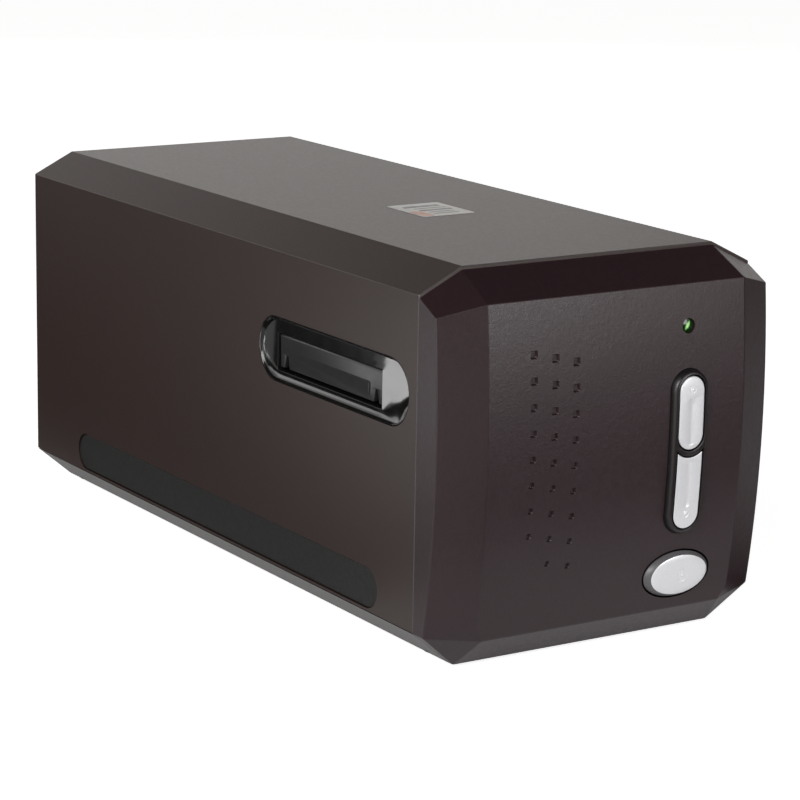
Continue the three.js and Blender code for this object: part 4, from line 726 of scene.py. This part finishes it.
def panelPrism(name, outline, depth0, depth1):
    low, high = bezel["blockReach"]
    block = prismObject(name, outline, bezel["apexY"] + depth0 + low, bezel["apexY"] + high + depth1, "y")
    return combine(block, [panelSlab(depth0, depth1)], "INTERSECT")


# Width, foot and top of the column that the two scan buttons fill
def buttonColumn(margin):
    width = surround["width"] - 2 * surround["band"] + 2 * margin
    reach = surround["height"] / 2 - surround["band"] + margin
    return width, surround["z"] - reach, surround["z"] + reach


def upperButtonOutline(margin):
    width = buttonColumn(margin)[0]
    height = buttons["upperHeight"] + 2 * margin
    return obround(surround["x"], buttonColumn(margin)[2] - height / 2, width, height)


# Round foot and a hollow top that follows the upper button's end
def lowerButtonOutline(margin, steps=24):
    width, low, high = buttonColumn(margin)
    radius = width / 2
    plainRadius = radius - margin
    hollowRadius = plainRadius + buttons["gap"] - margin
    hollowZ = high - margin - buttons["upperHeight"] + plainRadius
    dip = math.sqrt(hollowRadius ** 2 - radius ** 2)
    turn = math.atan2(-dip, radius)
    x = surround["x"]
    points = []
    for step in range(steps + 1):
        angle = math.pi + math.pi * step / steps
        points.append((x + radius * math.cos(angle), low + radius + radius * math.sin(angle)))
    for step in range(steps + 1):
        angle = turn + (-math.pi - 2 * turn) * step / steps
        points.append((x + hollowRadius * math.cos(angle), hollowZ + hollowRadius * math.sin(angle)))
    return points


def dimpleCutters():
    cutters = []
    for column, count in enumerate(dimples["counts"]):
        x = dimples["x"] + column * dimples["columnPitch"]
        for row in range(count):
            z = dimples["z"] - column * dimples["stagger"] - row * dimples["rowPitch"]
            size = dimples["topSize"] + (dimples["bottomSize"] - dimples["topSize"]) * row / (count - 1)
            face = bezel["apexY"] + panelArc(z)
            rings = []
            for depth, share in dimples["profile"]:
                outline = filleted(rectangle(x, z, size * share, size * share), dimples["corner"], steps=3)
                rings.append([placed(point, face + depth, "y") for point in outline])
            cutters.append(newObject("dimple", loft(rings)))
    return cutters


panelNormals = {"margin": 0.6, "lowMargin": 1, "away": 0.04, "facing": 0.7}


# The panel's own normals, so that neither the dimples nor the holes leave streaks on it
def smoothPanel(obj):
    mesh = obj.data
    normals = [Vector(corner.vector) for corner in mesh.corner_normals]
    margin = panelNormals["margin"]
    reach = (bezel["panelWidth"] / 2 - margin) * mm
    low, high = bezel["panelBottom"] + panelNormals["lowMargin"], bezel["panelTop"] - margin
    for face in mesh.polygons:
        for loop in face.loop_indices:
            place = mesh.vertices[mesh.loops[loop].vertex_index].co
            z = place.z / mm
            away = abs(place.y / mm - bezel["apexY"] - panelArc(z))
            if away > panelNormals["away"] or abs(place.x) > reach or not low < z < high:
                continue
            outward = Vector((0, -1, (z - bezel["apexZ"]) / bezel["bulge"])).normalized()
            if face.normal.dot(outward) > panelNormals["facing"]:
                normals[loop] = outward
    mesh.normals_split_custom_set([tuple(normal) for normal in normals])
    return obj


holeWalls = {"scanMargin": 1, "powerMargin": 0.3, "steepest": 0.4, "deepest": 6}


# How far behind the bulged panel a face lies
def panelDepth(face):
    return face.center.y / mm - bezel["apexY"] - panelArc(face.center.z / mm)


# Walls of the button holes take the near-black finish: painted shade inside the holes
def paintHoleWallShade(obj):
    margin = holeWalls["powerMargin"]
    windows = (
        (surround, surround["width"], surround["height"] / 2 + holeWalls["scanMargin"]),
        (power, power["width"] / 2 + margin, power["height"] / 2 + margin),
    )

    def isWall(face):
        x, z = face.center.x / mm, face.center.z / mm
        near = any(abs(x - hole["x"]) < wide and abs(z - hole["z"]) < high for hole, wide, high in windows)
        return near and abs(face.normal.y) < holeWalls["steepest"] and panelDepth(face) < holeWalls["deepest"]

    paintFaces(obj, "cap", isWall)


def makeBezel():
    shell = newObject("frontBezel", hull(bezelPoints(0, bezel["rear"])))
    roundEdges(shell, bezel["edgeRadius"], bezel["facetAngle"], segments=4)
    inside = newObject("inside", hull(bezelPoints(bezel["wall"], bezel["innerRear"])))
    parting = bezel["parting"]
    square = rectangle(0, bezel["behindZ"], far, far)
    behind = prismObject("behind", square, parting, parting + bezel["behind"], "y")
    combine(shell, [inside, behind])
    through = surround["back"] + 1
    groove = 2 * surround["groove"]
    hole = obround(surround["x"], surround["z"], surround["width"] + groove, surround["height"] + groove)
    lightHole = ellipse(light["x"], light["z"], 2 * light["hole"], 2 * light["hole"], light["sides"])
    powerHole = ellipse(power["x"], power["z"], power["width"], power["height"], power["sides"])
    combine(shell, [panelPrism(name, outline, -1, through)
                    for name, outline in (("hole", hole), ("light", lightHole), ("power", powerHole))])
    combine(shell, dimpleCutters())
    roundEdges(shell, bezel["holeEdge"], bezel["holeAngle"], segments=2)
    dress(smoothPanel(smoothFlat(shell, angle=35)), "panel", replaces=["front_bezel"])
    paintHoleWallShade(shell)


makeBezel()
print("front bezel made")


# Surround, buttons, power button and light. The surround and buttons are made flat and then bent onto the
# bulged panel; the light is set at the panel's face

def ontoPanel(obj):
    for vert in obj.data.vertices:
        vert.co.y += (bezel["apexY"] + panelArc(vert.co.z / mm)) * mm
    obj.data.update()
    return obj


# Level cuts, so that a tall face can follow the bulge
def sliced(obj, low, high, count):
    bm = bmesh.new()
    bm.from_mesh(obj.data)
    for step in range(1, count):
        height = low + (high - low) * step / count
        geometry = bm.verts[:] + bm.edges[:] + bm.faces[:]
        bmesh.ops.bisect_plane(bm, geom=geometry, plane_co=(0, 0, height * mm), plane_no=(0, 0, 1))
    bm.to_mesh(obj.data)
    bm.free()
    return obj


def makeSurround():
    profile = [(0, surround["back"])] + surround["shoulder"]
    rings = []
    for inset, depth in profile:
        outline = obround(surround["x"], surround["z"], surround["width"] - 2 * inset,
                          surround["height"] - 2 * inset)
        rings.append([placed(point, depth, "y") for point in outline])
    block = newObject("scanSurround", loft(rings))
    deep = surround["holeReach"]
    holes = [prismObject("hole", outline(buttons["play"]), -deep, deep, "y")
             for outline in (upperButtonOutline, lowerButtonOutline)]
    combine(block, holes)
    roundEdges(block, surround["edge"], segments=2)
    reach = surround["height"] / 2
    ontoPanel(sliced(block, surround["z"] - reach, surround["z"] + reach, surround["slices"]))
    dress(smooth(block, angle=35), "surround")
    paintHoleWallShade(block)


# A closed ring of round wire that cuts a mark into a button's face
def ringMark(name, x, z, radius, wire, front, steps=24, sides=8):
    bm = bmesh.new()
    rings = []
    for step in range(steps):
        angle = 2 * math.pi * step / steps
        ring = []
        for turn in range(sides):
            tilt = 2 * math.pi * turn / sides
            reach = radius + wire * math.cos(tilt)
            ring.append(bm.verts.new((x + reach * math.cos(angle), front - wire * math.sin(tilt),
                                      z + reach * math.sin(angle))))
        rings.append(ring)
    for index, ring in enumerate(rings):
        following = rings[(index + 1) % len(rings)]
        for turn in range(sides):
            after = (turn + 1) % sides
            bm.faces.new((ring[turn], ring[after], following[after], following[turn]))
    return newObject(name, bm)


# A small raised dome inside the ring
def makeBead(x, z, face):
    radius, steps, front = bead["radius"], bead["steps"], face + bead["lift"]
    profile = []
    for step in range(steps + 1):
        angle = math.pi / 2 * step / steps
        y = front - radius * bead["rise"] * math.cos(angle)
        profile.append((max(nearAxis, radius * math.sin(angle)), y))
    profile += [(radius, front + bead["root"]), (nearAxis, front + bead["root"])]
    return newObject("bead", turned(profile, (x, 0, z), "y", bead["sides"]))


# Faces between two depths behind the panel take another finish
def paintBetween(obj, finish, high, low):
    paintFaces(obj, finish, lambda face: high < panelDepth(face) < low)


def makeScanButton(name, outline, markZ, grooveZ, node):
    front = -buttons["proud"]
    cap = prismObject(name, outline, front, buttons["back"], "y")
    roundEdges(cap, buttons["edge"], buttons["edgeAngle"], buttons["edgeSegments"])
    radius, tip = buttons["grooveRadius"], buttons["grooveTip"]
    narrower, reach = buttons["grooveShoulder"]
    foot, top = grooveZ
    profile = [(nearAxis, foot - tip), (radius - narrower, foot - reach), (radius, foot),
               (radius, top), (radius - narrower, top + reach), (nearAxis, top + tip)]
    place = (surround["x"], front - radius + buttons["grooveDepth"], 0)
    ring = ringMark("mark", surround["x"], markZ, buttons["markRadius"], buttons["markWire"], front)
    combine(cap, [newObject("groove", turned(profile, place, steps=64)), ring])
    sliced(cap, *buttonColumn(0)[1:], buttons["slices"])
    combine(cap, [makeBead(surround["x"], markZ, front)], "UNION")
    dress(smooth(ontoPanel(cap)), "silver", body=node, replaces=[node])
    # Walls below the face are painted near black: dark plastic under the silver, and painted shade in the gap
    # round the button
    paintBetween(cap, "cap", front + buttons["edge"] + buttons["darkFrom"], buttons["deepest"])


def makePowerButton():
    front = -buttons["proud"]
    radius = power["height"] / 2 - power["play"]
    face = radius - power["flank"]
    bevel, drop, crown = power["bevel"], power["drop"], power["crown"]
    profile = [(nearAxis, front), (face - bevel, front + crown)]
    for step in range(1, power["bevelSteps"] + 1):
        share = step / power["bevelSteps"]
        fall = (drop - crown) * share ** power["bevelCurve"]
        profile.append((face - bevel + bevel * share, front + crown + fall))
    profile.append((face + power["step"], front + drop + power["step"]))
    profile.append((radius - power["flankInset"], power["flankTop"]))
    profile += [(radius, 0), (radius, buttons["back"]), (nearAxis, buttons["back"])]
    cap = newObject("powerCap", turned(profile, (0, 0, 0), "y", power["sides"]))
    stretch = Matrix.Diagonal(((power["width"] / 2 - power["play"]) / radius, 1, 1, 1))
    cap.data.transform(Matrix.Translation((power["x"] * mm, 0, power["z"] * mm)) @ stretch)
    x, z = power["x"] + power["markShift"][0], power["z"] + power["markShift"][1]
    ring = ringMark("powerRing", x, z, power["markRadius"], power["markWire"], front)
    gap = rectangle(x, z + power["markRadius"], *power["ringGap"])
    deep = power["gapReach"]
    combine(ring, [prismObject("ringGap", gap, front - deep, front + deep, "y")])
    bar = filleted(rectangle(x, z + power["barRise"], *power["bar"]), power["barCorner"], steps=4)
    low, high = front - power["barProud"], front + power["barDepth"]
    combine(cap, [ring, prismObject("powerBar", bar, low, high, "y")])
    combine(cap, [makeBead(x, z - power["beadDrop"], front)], "UNION")
    dress(smooth(ontoPanel(cap)), "silver", body="power_button", replaces=["power_button"])
    # The flank is painted in a dark copy of the silver: painted shade
    paintBetween(cap, "flank", front + drop + crown, power["flankEnd"])
    # Walls below the flank are painted near black: dark plastic under the silver, and painted shade in the
    # gap round the button
    paintBetween(cap, "cap", power["flankEnd"], buttons["deepest"])


# A sunk green lens: dark, with a bright slanting leaf painted into its colour and glow as a highlight
def lensHighlightFinish():
    material, tree, shader = nodeMaterial("greenLight")
    place = addNode(tree, "ShaderNodeTexCoord").outputs["Object"]
    flat = addNode(tree, "ShaderNodeVectorMath", {0: place, 1: (1, 0, 1)}, operation="MULTIPLY")
    halfLong, halfWide = light["leafLength"] / 2, light["leafWidth"] / 2
    radius = (halfLong ** 2 + halfWide ** 2) / (2 * halfWide)
    wayX, wayZ = light["leafWay"]
    reaches = []
    x = light["x"] - light["leafShift"]
    for side in (-1, 1):
        offset = side * (radius - halfWide)
        centre = ((x + offset * wayZ) * mm, 0, (light["z"] - offset * wayX) * mm)
        away = addNode(tree, "ShaderNodeVectorMath", {0: flat.outputs[0], 1: centre}, operation="DISTANCE")
        reaches.append(away.outputs["Value"])
    glow = addNode(tree, "ShaderNodeMapRange", {
        "Value": combined(tree, "MAXIMUM", *reaches), "From Min": (radius - light["leafBlur"]) * mm,
        "From Max": radius * mm, "To Min": 1.0, "To Max": 0.0,
    })
    tone = mixColour(tree, glow.outputs["Result"], light["dark"], light["bright"])
    tree.links.new(tone, shader.inputs["Base Color"])
    tree.links.new(tone, shader.inputs["Emission Color"])
    shader.inputs["Emission Strength"].default_value = light["glow"]
    shader.inputs["Roughness"].default_value = light["roughness"]
    return material


def makeLight():
    radius, steps, length = light["radius"], light["domeSteps"], light["length"]
    profile = [(max(nearAxis, radius * step / steps), light["sink"] + light["dome"] * (step / steps) ** 2)
               for step in range(steps + 1)]
    profile += [(radius, light["shoulder"]), (radius / 2, length), (nearAxis, length)]
    face = bezel["apexY"] + panelArc(light["z"])
    lens = newObject("statusLens", turned(profile, (light["x"], face, light["z"]), "y", light["sides"]))
    finishes["light"] = lensHighlightFinish()
    dress(smooth(lens), "light", replaces=["status_light"])


makeSurround()
columnLow, columnHigh = buttonColumn(0)[1:]
upperEnd = columnHigh - buttons["upperHeight"]
above, below = buttons["upperGroove"]
makeScanButton("upperScanCap", upperButtonOutline(0), columnHigh - buttons["upperMark"],
               (upperEnd + above, columnHigh - below), "scan_button_upper")
above, below = buttons["lowerGroove"]
makeScanButton("lowerScanCap", lowerButtonOutline(0), columnLow + buttons["lowerMark"],
               (columnLow + above, upperEnd - below), "scan_button_lower")
makePowerButton()
makeLight()
print("buttons made")


# Film slots: dished insert and hinged door in each side

insert = {
    "play": 0.14, "depth": 1.65, "nearShift": 1.9, "nearSlope": math.radians(6.5),
    "bowlWidth": 2.6, "nearBowlWidth": 7.5,
    "collar": [(0, 0.5), (0, 0.15), (0.05, 0.08), (0.15, 0.05), (0.28, 0.09), (0.42, 0.24), (0.56, 0.46),
               (0.7, 0.68), (0.86, 0.83), (1.05, 0.92)],
    "mouthY": -66.6, "mouthZ": 81.7, "mouthLength": 63.2, "mouthHeight": 11.8, "mouthRound": 0.12,
    "back": 4.2, "tunnelWall": 2, "tunnelBack": 8.5,
    "farCrease": math.radians(58), "nearCrease": math.radians(90),
    "longSteps": 24, "endSteps": 20, "arcSteps": 6, "dishSteps": 12, "dishStart": 0.01,
    "nearFade": 7, "lowFade": 5, "lipShare": 0.3, "lipDepths": (0.08, 0.3), "sharpAngle": 28, "weld": 0.0005,
}
door = {
    "depth": 2.5, "thickness": 1.6, "hingeZ": 86.35, "barrel": 0.95, "halfLength": 31.1, "bottom": 76.7,
    "swellLength": 5, "frontRise": 1, "barrelSteps": 12, "swellSteps": 8, "edge": 0.15,
    "notchWidth": 3.4, "notchHeight": 4, "notchFromEnd": 2.2, "notchReach": 3,
    "pinRadius": 0.7, "pinNear": 2, "pinFar": 5,
    "ribY": -88, "ribTop": 82.4, "ribBottom": 78.8, "ribWidth": 0.5, "ribDepths": (-0.3, 0.45),
}


# Points around the rim, in step with mouthRing: far end, bottom, near end, top
def rimRing(shrink):
    radius = slotRecess["height"] / 2 - shrink
    reach = slotRecess["length"] / 2 - slotRecess["height"] / 2
    far, near, z = slotRecess["y"] + reach, slotRecess["y"] - reach, slotRecess["z"]
    crease, nearCrease, steps = insert["farCrease"], insert["nearCrease"], insert["endSteps"]

    def arcPoint(centre, angle):
        return (centre + radius * math.cos(angle), z + radius * math.sin(angle))

    points = [arcPoint(far, crease - 2 * crease * step / steps) for step in range(steps)]
    points += alongRim(arcPoint, far, near, crease, nearCrease, -1)
    points += [arcPoint(near, math.pi + nearCrease - 2 * nearCrease * step / steps) for step in range(steps)]
    points += alongRim(arcPoint, far, near, crease, nearCrease, 1)[::-1]
    return points


# From the far crease round to the near crease, along the top (up = 1) or the bottom (up = -1)
def alongRim(arcPoint, far, near, crease, nearCrease, up):
    arcSteps, quarter = insert["arcSteps"], math.pi / 2
    points = [arcPoint(far, up * (crease + (quarter - crease) * step / arcSteps)) for step in range(arcSteps)]
    start, end = arcPoint(far, up * quarter), arcPoint(near, up * (math.pi - nearCrease))
    straight = insert["longSteps"] - arcSteps
    points += [between(start, end, step / straight) for step in range(straight)]
    if up > 0:
        points = points[1:] + [end]
    return points


def mouthRing(grow):
    far = insert["mouthY"] + insert["mouthLength"] / 2 + grow
    near = insert["mouthY"] - insert["mouthLength"] / 2 + insert["nearShift"] - grow
    rise, z = insert["mouthHeight"] / 2 + grow, insert["mouthZ"]
    corners = [(far, z + rise), (far, z - rise), (near, z - rise), (near, z + rise)]
    counts = [insert["endSteps"], insert["longSteps"], insert["endSteps"], insert["longSteps"]]
    points = []
    for index, count in enumerate(counts):
        start, end = corners[index], corners[(index + 1) % 4]
        points += [between(start, end, step / count) for step in range(count)]
    return points


def easing(value):
    value = max(0, min(1, value))
    return value * value * (3 - 2 * value)


# How deep the dish lies: hollow at the far end and along the bottom, a plain ramp at the near end
def dishDepth(y, z):
    rimInset, rimDepth = insert["collar"][-1]
    radius = slotRecess["height"] / 2 - insert["play"] - rimInset
    reach = slotRecess["length"] / 2 - slotRecess["height"] / 2
    farRim = slotRecess["y"] + reach + radius
    mouthFar = insert["mouthY"] + insert["mouthLength"] / 2
    mouthNear = insert["mouthY"] - insert["mouthLength"] / 2 + insert["nearShift"]
    depth = insert["depth"]
    if y > mouthFar:
        depth -= (depth - rimDepth) * ((y - mouthFar) / (farRim - mouthFar)) ** 2
    depth += max(0, mouthNear - y) * math.tan(insert["nearSlope"])
    fromLine = math.hypot(max(0, abs(y - slotRecess["y"]) - reach), z - slotRecess["z"])
    width = insert["bowlWidth"]
    width += (insert["nearBowlWidth"] - width) * easing((mouthNear - y) / insert["nearFade"])
    bowl = max(0, 1 - (radius - fromLine) / width) ** 2
    return depth - max(0, depth - rimDepth) * bowl * easing((slotRecess["z"] - z) / insert["lowFade"])


def makeInsert(name, side, node):
    half = housing["width"] / 2
    play = insert["play"]
    rimInset = insert["collar"][-1][0]

    def ringAt(points, depth=None, extra=0):
        return [placed(point, side * (half - (dishDepth(*point) + extra if depth is None else depth)), "x")
                for point in points]

    rings = [ringAt(rimRing(play), insert["back"])]
    for inset, drop in insert["collar"]:
        rings.append(ringAt(rimRing(play + inset), drop))
    rim, mouth = rimRing(play + rimInset), mouthRing(insert["mouthRound"])
    for step in range(insert["dishSteps"] + 1):
        share = insert["dishStart"] + (1 - insert["dishStart"]) * step / insert["dishSteps"]
        rings.append(ringAt([between(a, b, share) for a, b in zip(rim, mouth)]))
    first, second = insert["lipDepths"]
    rings.append(ringAt(mouthRing(insert["mouthRound"] * insert["lipShare"]), extra=first))
    rings.append(ringAt(mouthRing(0), extra=second))
    rings.append(ringAt(mouthRing(0), insert["tunnelBack"]))
    rings.append(ringAt(mouthRing(insert["tunnelWall"]), insert["tunnelBack"]))
    rings.append(ringAt(mouthRing(insert["tunnelWall"]), insert["back"]))
    bm = loft(rings + [rings[0]], False, False)
    bmesh.ops.remove_doubles(bm, verts=bm.verts, dist=insert["weld"])
    dress(smooth(newObject(name, bm), insert["sharpAngle"]), "gloss", replaces=[node])


# A leaf whose top swells softly into the hinge barrel
def makeDoor(name, side, body, node):
    half = housing["width"] / 2
    middle = door["depth"] + door["thickness"] / 2
    hingeX = side * (half - middle)
    y, reach = insert["mouthY"], door["halfLength"]
    nearReach = reach - insert["nearShift"]
    swell = door["barrel"] - door["thickness"] / 2
    barrel, hingeZ, halfThick = door["barrel"], door["hingeZ"], door["thickness"] / 2
    section = []
    for step in range(door["barrelSteps"] + 1):
        angle = math.pi * step / door["barrelSteps"]
        section.append((barrel * math.cos(angle), hingeZ + barrel * math.sin(angle)))
    for step in range(1, door["swellSteps"] + 1):
        share = step / door["swellSteps"]
        section.append((-barrel + swell * share ** 2, hingeZ - door["swellLength"] * share))
    section += [(-halfThick, door["bottom"]), (halfThick, door["bottom"])]
    section.append((halfThick, hingeZ - door["frontRise"]))
    rings = [[(hingeX - side * across, along, z) for across, z in section]
             for along in (y - nearReach, y + reach)]
    leaf = newObject(name, loft(rings))
    cutters = []
    wide, tip, low = door["notchWidth"] / 2, door["notchWidth"] / 6, door["bottom"] - 1
    top = door["bottom"] + door["notchHeight"]
    for end, length in ((-1, nearReach), (1, reach)):
        centre = y + end * (length - door["notchFromEnd"] - wide)
        outline = [(centre - wide, low), (centre + wide, low), (centre + tip, top), (centre - tip, top)]
        deep = door["notchReach"]
        cutters.append(prismObject("notch", outline, hingeX - deep, hingeX + deep, "x"))
    combine(leaf, cutters)
    pinLine = [(door["pinRadius"], end) for end in (y - reach - door["pinNear"], y + reach + door["pinFar"])]
    pin = newObject("pin", turned(pinLine, (hingeX, 0, hingeZ), "y", steps=24))
    ribZ, ribHeight = (door["ribTop"] + door["ribBottom"]) / 2, door["ribTop"] - door["ribBottom"]
    outer = side * (half - door["depth"])
    ribFace = sorted(outer + side * depth for depth in door["ribDepths"])
    rib = prismObject("rib", rectangle(door["ribY"], ribZ, door["ribWidth"], ribHeight), *ribFace, "x")
    combine(leaf, [pin, rib], "UNION")
    roundEdges(leaf, door["edge"], segments=2)
    dress(smooth(leaf, angle=35), "door", body=body, replaces=[node])


def makeStrip(name, side, node):
    inner = housing["width"] / 2 - stripRecess["depth"]
    faces = sorted((side * inner, side * (inner + stripRecess["thickness"])))
    length, height = stripRecess["length"] - stripRecess["play"], stripRecess["height"] - stripRecess["play"]
    outline = obround(stripRecess["y"], stripRecess["z"], length, height)
    strip = prismObject(name, outline, *faces, "x")
    roundEdges(strip, stripRecess["edge"])
    dress(smoothFlat(strip), "rubber", replaces=[node])


for word, side in (("left", -1), ("right", 1)):
    makeInsert(word + "SlotInsert", side, word + "_slot_bezel")
    makeDoor(word + "FilmDoor", side, word + "_door", word + "_slot_door")
    makeStrip(word + "GripStrip", side, word + "_side_strip")
print("film slots made")


# Label on the top: a plain pale plate with blocks

label = {
    "x": 0.6, "y": -30, "width": 19.5, "length": 22.8, "thickness": 0.12, "corner": 1.0, "edge": 0.05,
    "sunk": 0.02, "blockCorner": 0.2,
    "tones": {"plate": (0.56, 0.55, 0.53), "orange": (0.55, 0.2, 0.1), "grey": (0.2, 0.2, 0.2),
              "dark": (0.06, 0.06, 0.062)},
    "look": {"roughness": (0.3, 0.4), "grainSize": 0.0006, "grain": 0.05, "grainDepth": 0.00001,
             "edgeHighlightTone": 1.1, "speck": 0.15, "speckTone": 0.8},
    "blocks": [(-7.2, -6.0, 4.2, 8.6, "orange"), (1.2, -7.4, 9.6, 1.3, "grey"), (1.2, -4.6, 9.6, 1.3, "grey"),
               (1.2, -1.0, 12.0, 2.0, "dark"), (1.2, 2.4, 12.0, 1.6, "grey"), (0.2, 6.2, 13.6, 2.6, "dark")],
}


def makeLabel():
    for tone, colour in label["tones"].items():
        finishes[tone] = plasticFinish("label" + tone.capitalize(), {**label["look"], "colour": colour})
    low, sunk = housing["height"], label["sunk"]
    top = low + label["thickness"]
    outline = filleted(rectangle(label["x"], label["y"], label["width"], label["length"]), label["corner"])
    plate = prismObject("topLabel", outline, low - sunk, top, "z")
    dress(smoothFlat(roundEdges(plate, label["edge"], segments=2)), "plate")
    for index, (x, y, width, length, tone) in enumerate(label["blocks"]):
        flat = rectangle(label["x"] + x, label["y"] + y, width, length)
        outline = filleted(flat, label["blockCorner"], steps=3)
        block = prismObject(f"labelBlock{index + 1}", outline, top - sunk, top + sunk, "z")
        dress(block, tone)


makeLabel()
print("label made")


# Rear side and everything inside keep their CAD shape

rearPieces = {
    "backPlate": {"node": "rear_panel", "slot": "housing", "edge": 0.3},
    "usbShell": {"node": "usb_socket", "slot": "steel", "edge": 0.12},
    "powerInlet": {"node": "power_socket", "slot": "socket", "edge": 0.2},
}
for name, piece in rearPieces.items():
    obj = roundEdges(nodeCopy(name, piece["node"]), piece["edge"], segments=2)
    dress(smoothFlat(obj, angle=40), piece["slot"], replaces=[piece["node"]])


def makeDetentCoil():
    coil = nodeCopy("detentCoil", "detent_spring")
    dress(coil, "steel", replaces=["detent_spring"])
    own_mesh(coil)


makeDetentCoil()
for row in frame["record"]["subparts"]:
    slot = row["material_slot"]
    node = frame["nodes"][row["node"]]
    node.data.materials.clear()
    node.data.materials.append(finishes["gloss" if slot == "gloss_black" else slot])
print("inner pieces dressed")


# Studio: white floor and sky, soft lamps, and cards that only reflections see: dark, or glowing

studio = {
    "worldLight": 0.1, "skyWarmth": (1.0, 0.97, 0.935),
    "floorSize": 9.0, "floorLift": 0.86, "floorMirrored": 0.22, "floorRoughness": 0.9,
    "floorTones": ((0.84, 0.84, 0.84, 1), (0.88, 0.88, 0.88, 1)), "floorPatch": 0.2,
    "aim": (0, 0, 0.06), "cardGrey": 0.02,
    "lamps": [
        {"name": "leftFrontLamp", "place": (-1.3, -0.9, 0.9), "size": 0.9, "power": 20},
        {"name": "panelLamp", "place": (0.18, -0.6, 0.17), "size": 0.22, "power": 0.9},
        {"name": "sideLamp", "place": (-0.2715, 0.102, 0.02), "size": 0.06, "power": 0.065},
        {"name": "backLamp", "place": (0.66, 1.35, 0.5), "size": 0.8, "power": 0.38},
    ],
    "cards": [
        ("overheadCard", 0, [(-1.1, -1.2, 1.2), (2.2, -1.2, 1.2), (2.2, 2.2, 1.2), (-1.1, 2.2, 1.2)]),
        ("leftMat", 0, [(-0.075, -0.05, 0.0008), (-0.075, 0.9, 0.0008), (-0.55, 0.9, 0.0008),
                        (-0.15, -0.05, 0.0008)]),
        ("frontMat", 0, [(-0.1, -0.21, 0.0008), (-0.1, -1.07, 0.0008), (1.2, -1.07, 0.0008),
                         (1.2, -0.21, 0.0008)]),
        ("nearMat", 0, [(0.07, -0.11, 0.0008), (0.07, -0.15, 0.0008), (1.2, -0.15, 0.0008),
                        (1.2, -0.11, 0.0008)]),
        ("backCard", 0, [(-1.2, 0.5, 0), (-1.2, 0.5, 0.24), (-0.35, 1.15, 0.24), (-0.35, 1.15, 0)]),
        ("glowCard", 2.5, [(-1.2, 0.5, 0.24), (-1.2, 0.5, 0.4), (-0.35, 1.15, 0.4), (-0.35, 1.15, 0.24)]),
        ("rightCard", 0, [(1.0, -0.9, 0.02), (1.0, 0.1, 0.02), (1.0, 0.1, 0.7), (1.0, -0.9, 0.7)]),
        ("frontCard", 0, [(-0.8, -0.95, 0), (-0.8, -0.95, 0.6), (-0.05, -1.25, 0.6), (-0.05, -1.25, 0)]),
        ("whiteCard", 2.2, [(-0.9, -0.7, 0.01), (-0.9, 0.05, 0.01), (-0.9, 0.05, 0.4), (-0.9, -0.7, 0.4)]),
    ],
}


def lookAlong(place, direction):
    matrix = Vector(direction).to_track_quat("-Z", "Y").to_matrix().to_4x4()
    matrix.translation = Vector(place)
    return matrix


def makeWorld():
    world = bpy.data.worlds.new("studioWorld")
    bpy.context.scene.world = world
    world.use_nodes = True
    tree = world.node_tree
    background = tree.nodes["Background"]
    path = addNode(tree, "ShaderNodeLightPath")
    seen = path.outputs["Is Camera Ray"]
    for ray in ("Is Glossy Ray", "Is Transmission Ray"):
        seen = combined(tree, "MAXIMUM", seen, path.outputs[ray])
    strength = addNode(tree, "ShaderNodeMapRange", {
        "Value": seen, "To Min": studio["worldLight"], "To Max": 1.0,
    })
    tone = mixColour(tree, path.outputs["Is Camera Ray"], studio["skyWarmth"] + (1,), (1, 1, 1, 1))
    tree.links.new(tone, background.inputs["Color"])
    tree.links.new(strength.outputs["Result"], background.inputs["Strength"])


def makeFloor():
    half = studio["floorSize"] / 2
    bm = bmesh.new()
    bm.faces.new([bm.verts.new(point) for point in
                  ((-half, -half, 0), (half, -half, 0), (half, half, 0), (-half, half, 0))])
    floor = newObject("studioFloor", bm, 1.0)
    material, tree, shader = nodeMaterial("paleFloor")
    path = addNode(tree, "ShaderNodeLightPath")
    tone = mixColour(tree, noise(tree, studio["floorPatch"]), *studio["floorTones"])
    tree.links.new(tone, shader.inputs["Base Color"])
    shader.inputs["Roughness"].default_value = studio["floorRoughness"]
    shader.inputs["Specular IOR Level"].default_value = 0.0
    shader.inputs["Emission Color"].default_value = (1, 1, 1, 1)
    lift = combined(tree, "MULTIPLY", path.outputs["Is Camera Ray"], studio["floorLift"])
    mirrored = combined(tree, "MULTIPLY", path.outputs["Is Glossy Ray"], studio["floorMirrored"])
    tree.links.new(combined(tree, "ADD", lift, mirrored), shader.inputs["Emission Strength"])
    floor.data.materials.append(material)


def makeLamps():
    for lamp in studio["lamps"]:
        data = bpy.data.lights.new(lamp["name"], "AREA")
        data.shape = "SQUARE"
        data.size = lamp["size"]
        data.energy = lamp["power"]
        obj = bpy.data.objects.new(lamp["name"], data)
        obj.matrix_world = lookAlong(lamp["place"], Vector(studio["aim"]) - Vector(lamp["place"]))
        obj.visible_camera = False
        bpy.context.scene.collection.objects.link(obj)


def makeCards():
    for name, glow, corners in studio["cards"]:
        bm = bmesh.new()
        bm.faces.new([bm.verts.new(corner) for corner in corners])
        obj = newObject(name, bm, 1.0)
        material, _, shader = nodeMaterial(name + "Felt")
        shader.inputs["Base Color"].default_value = (studio["cardGrey"],) * 3 + (1,)
        shader.inputs["Specular IOR Level"].default_value = 0.0
        shader.inputs["Emission Color"].default_value = (1, 1, 1, 1)
        shader.inputs["Emission Strength"].default_value = glow
        obj.data.materials.append(material)
        obj.visible_camera = False
        obj.visible_diffuse = False
        obj.visible_shadow = False
        obj.visible_transmission = False


makeWorld()
makeFloor()
makeLamps()
makeCards()
bpy.context.scene.view_settings.view_transform = "Standard"
print("studio made")
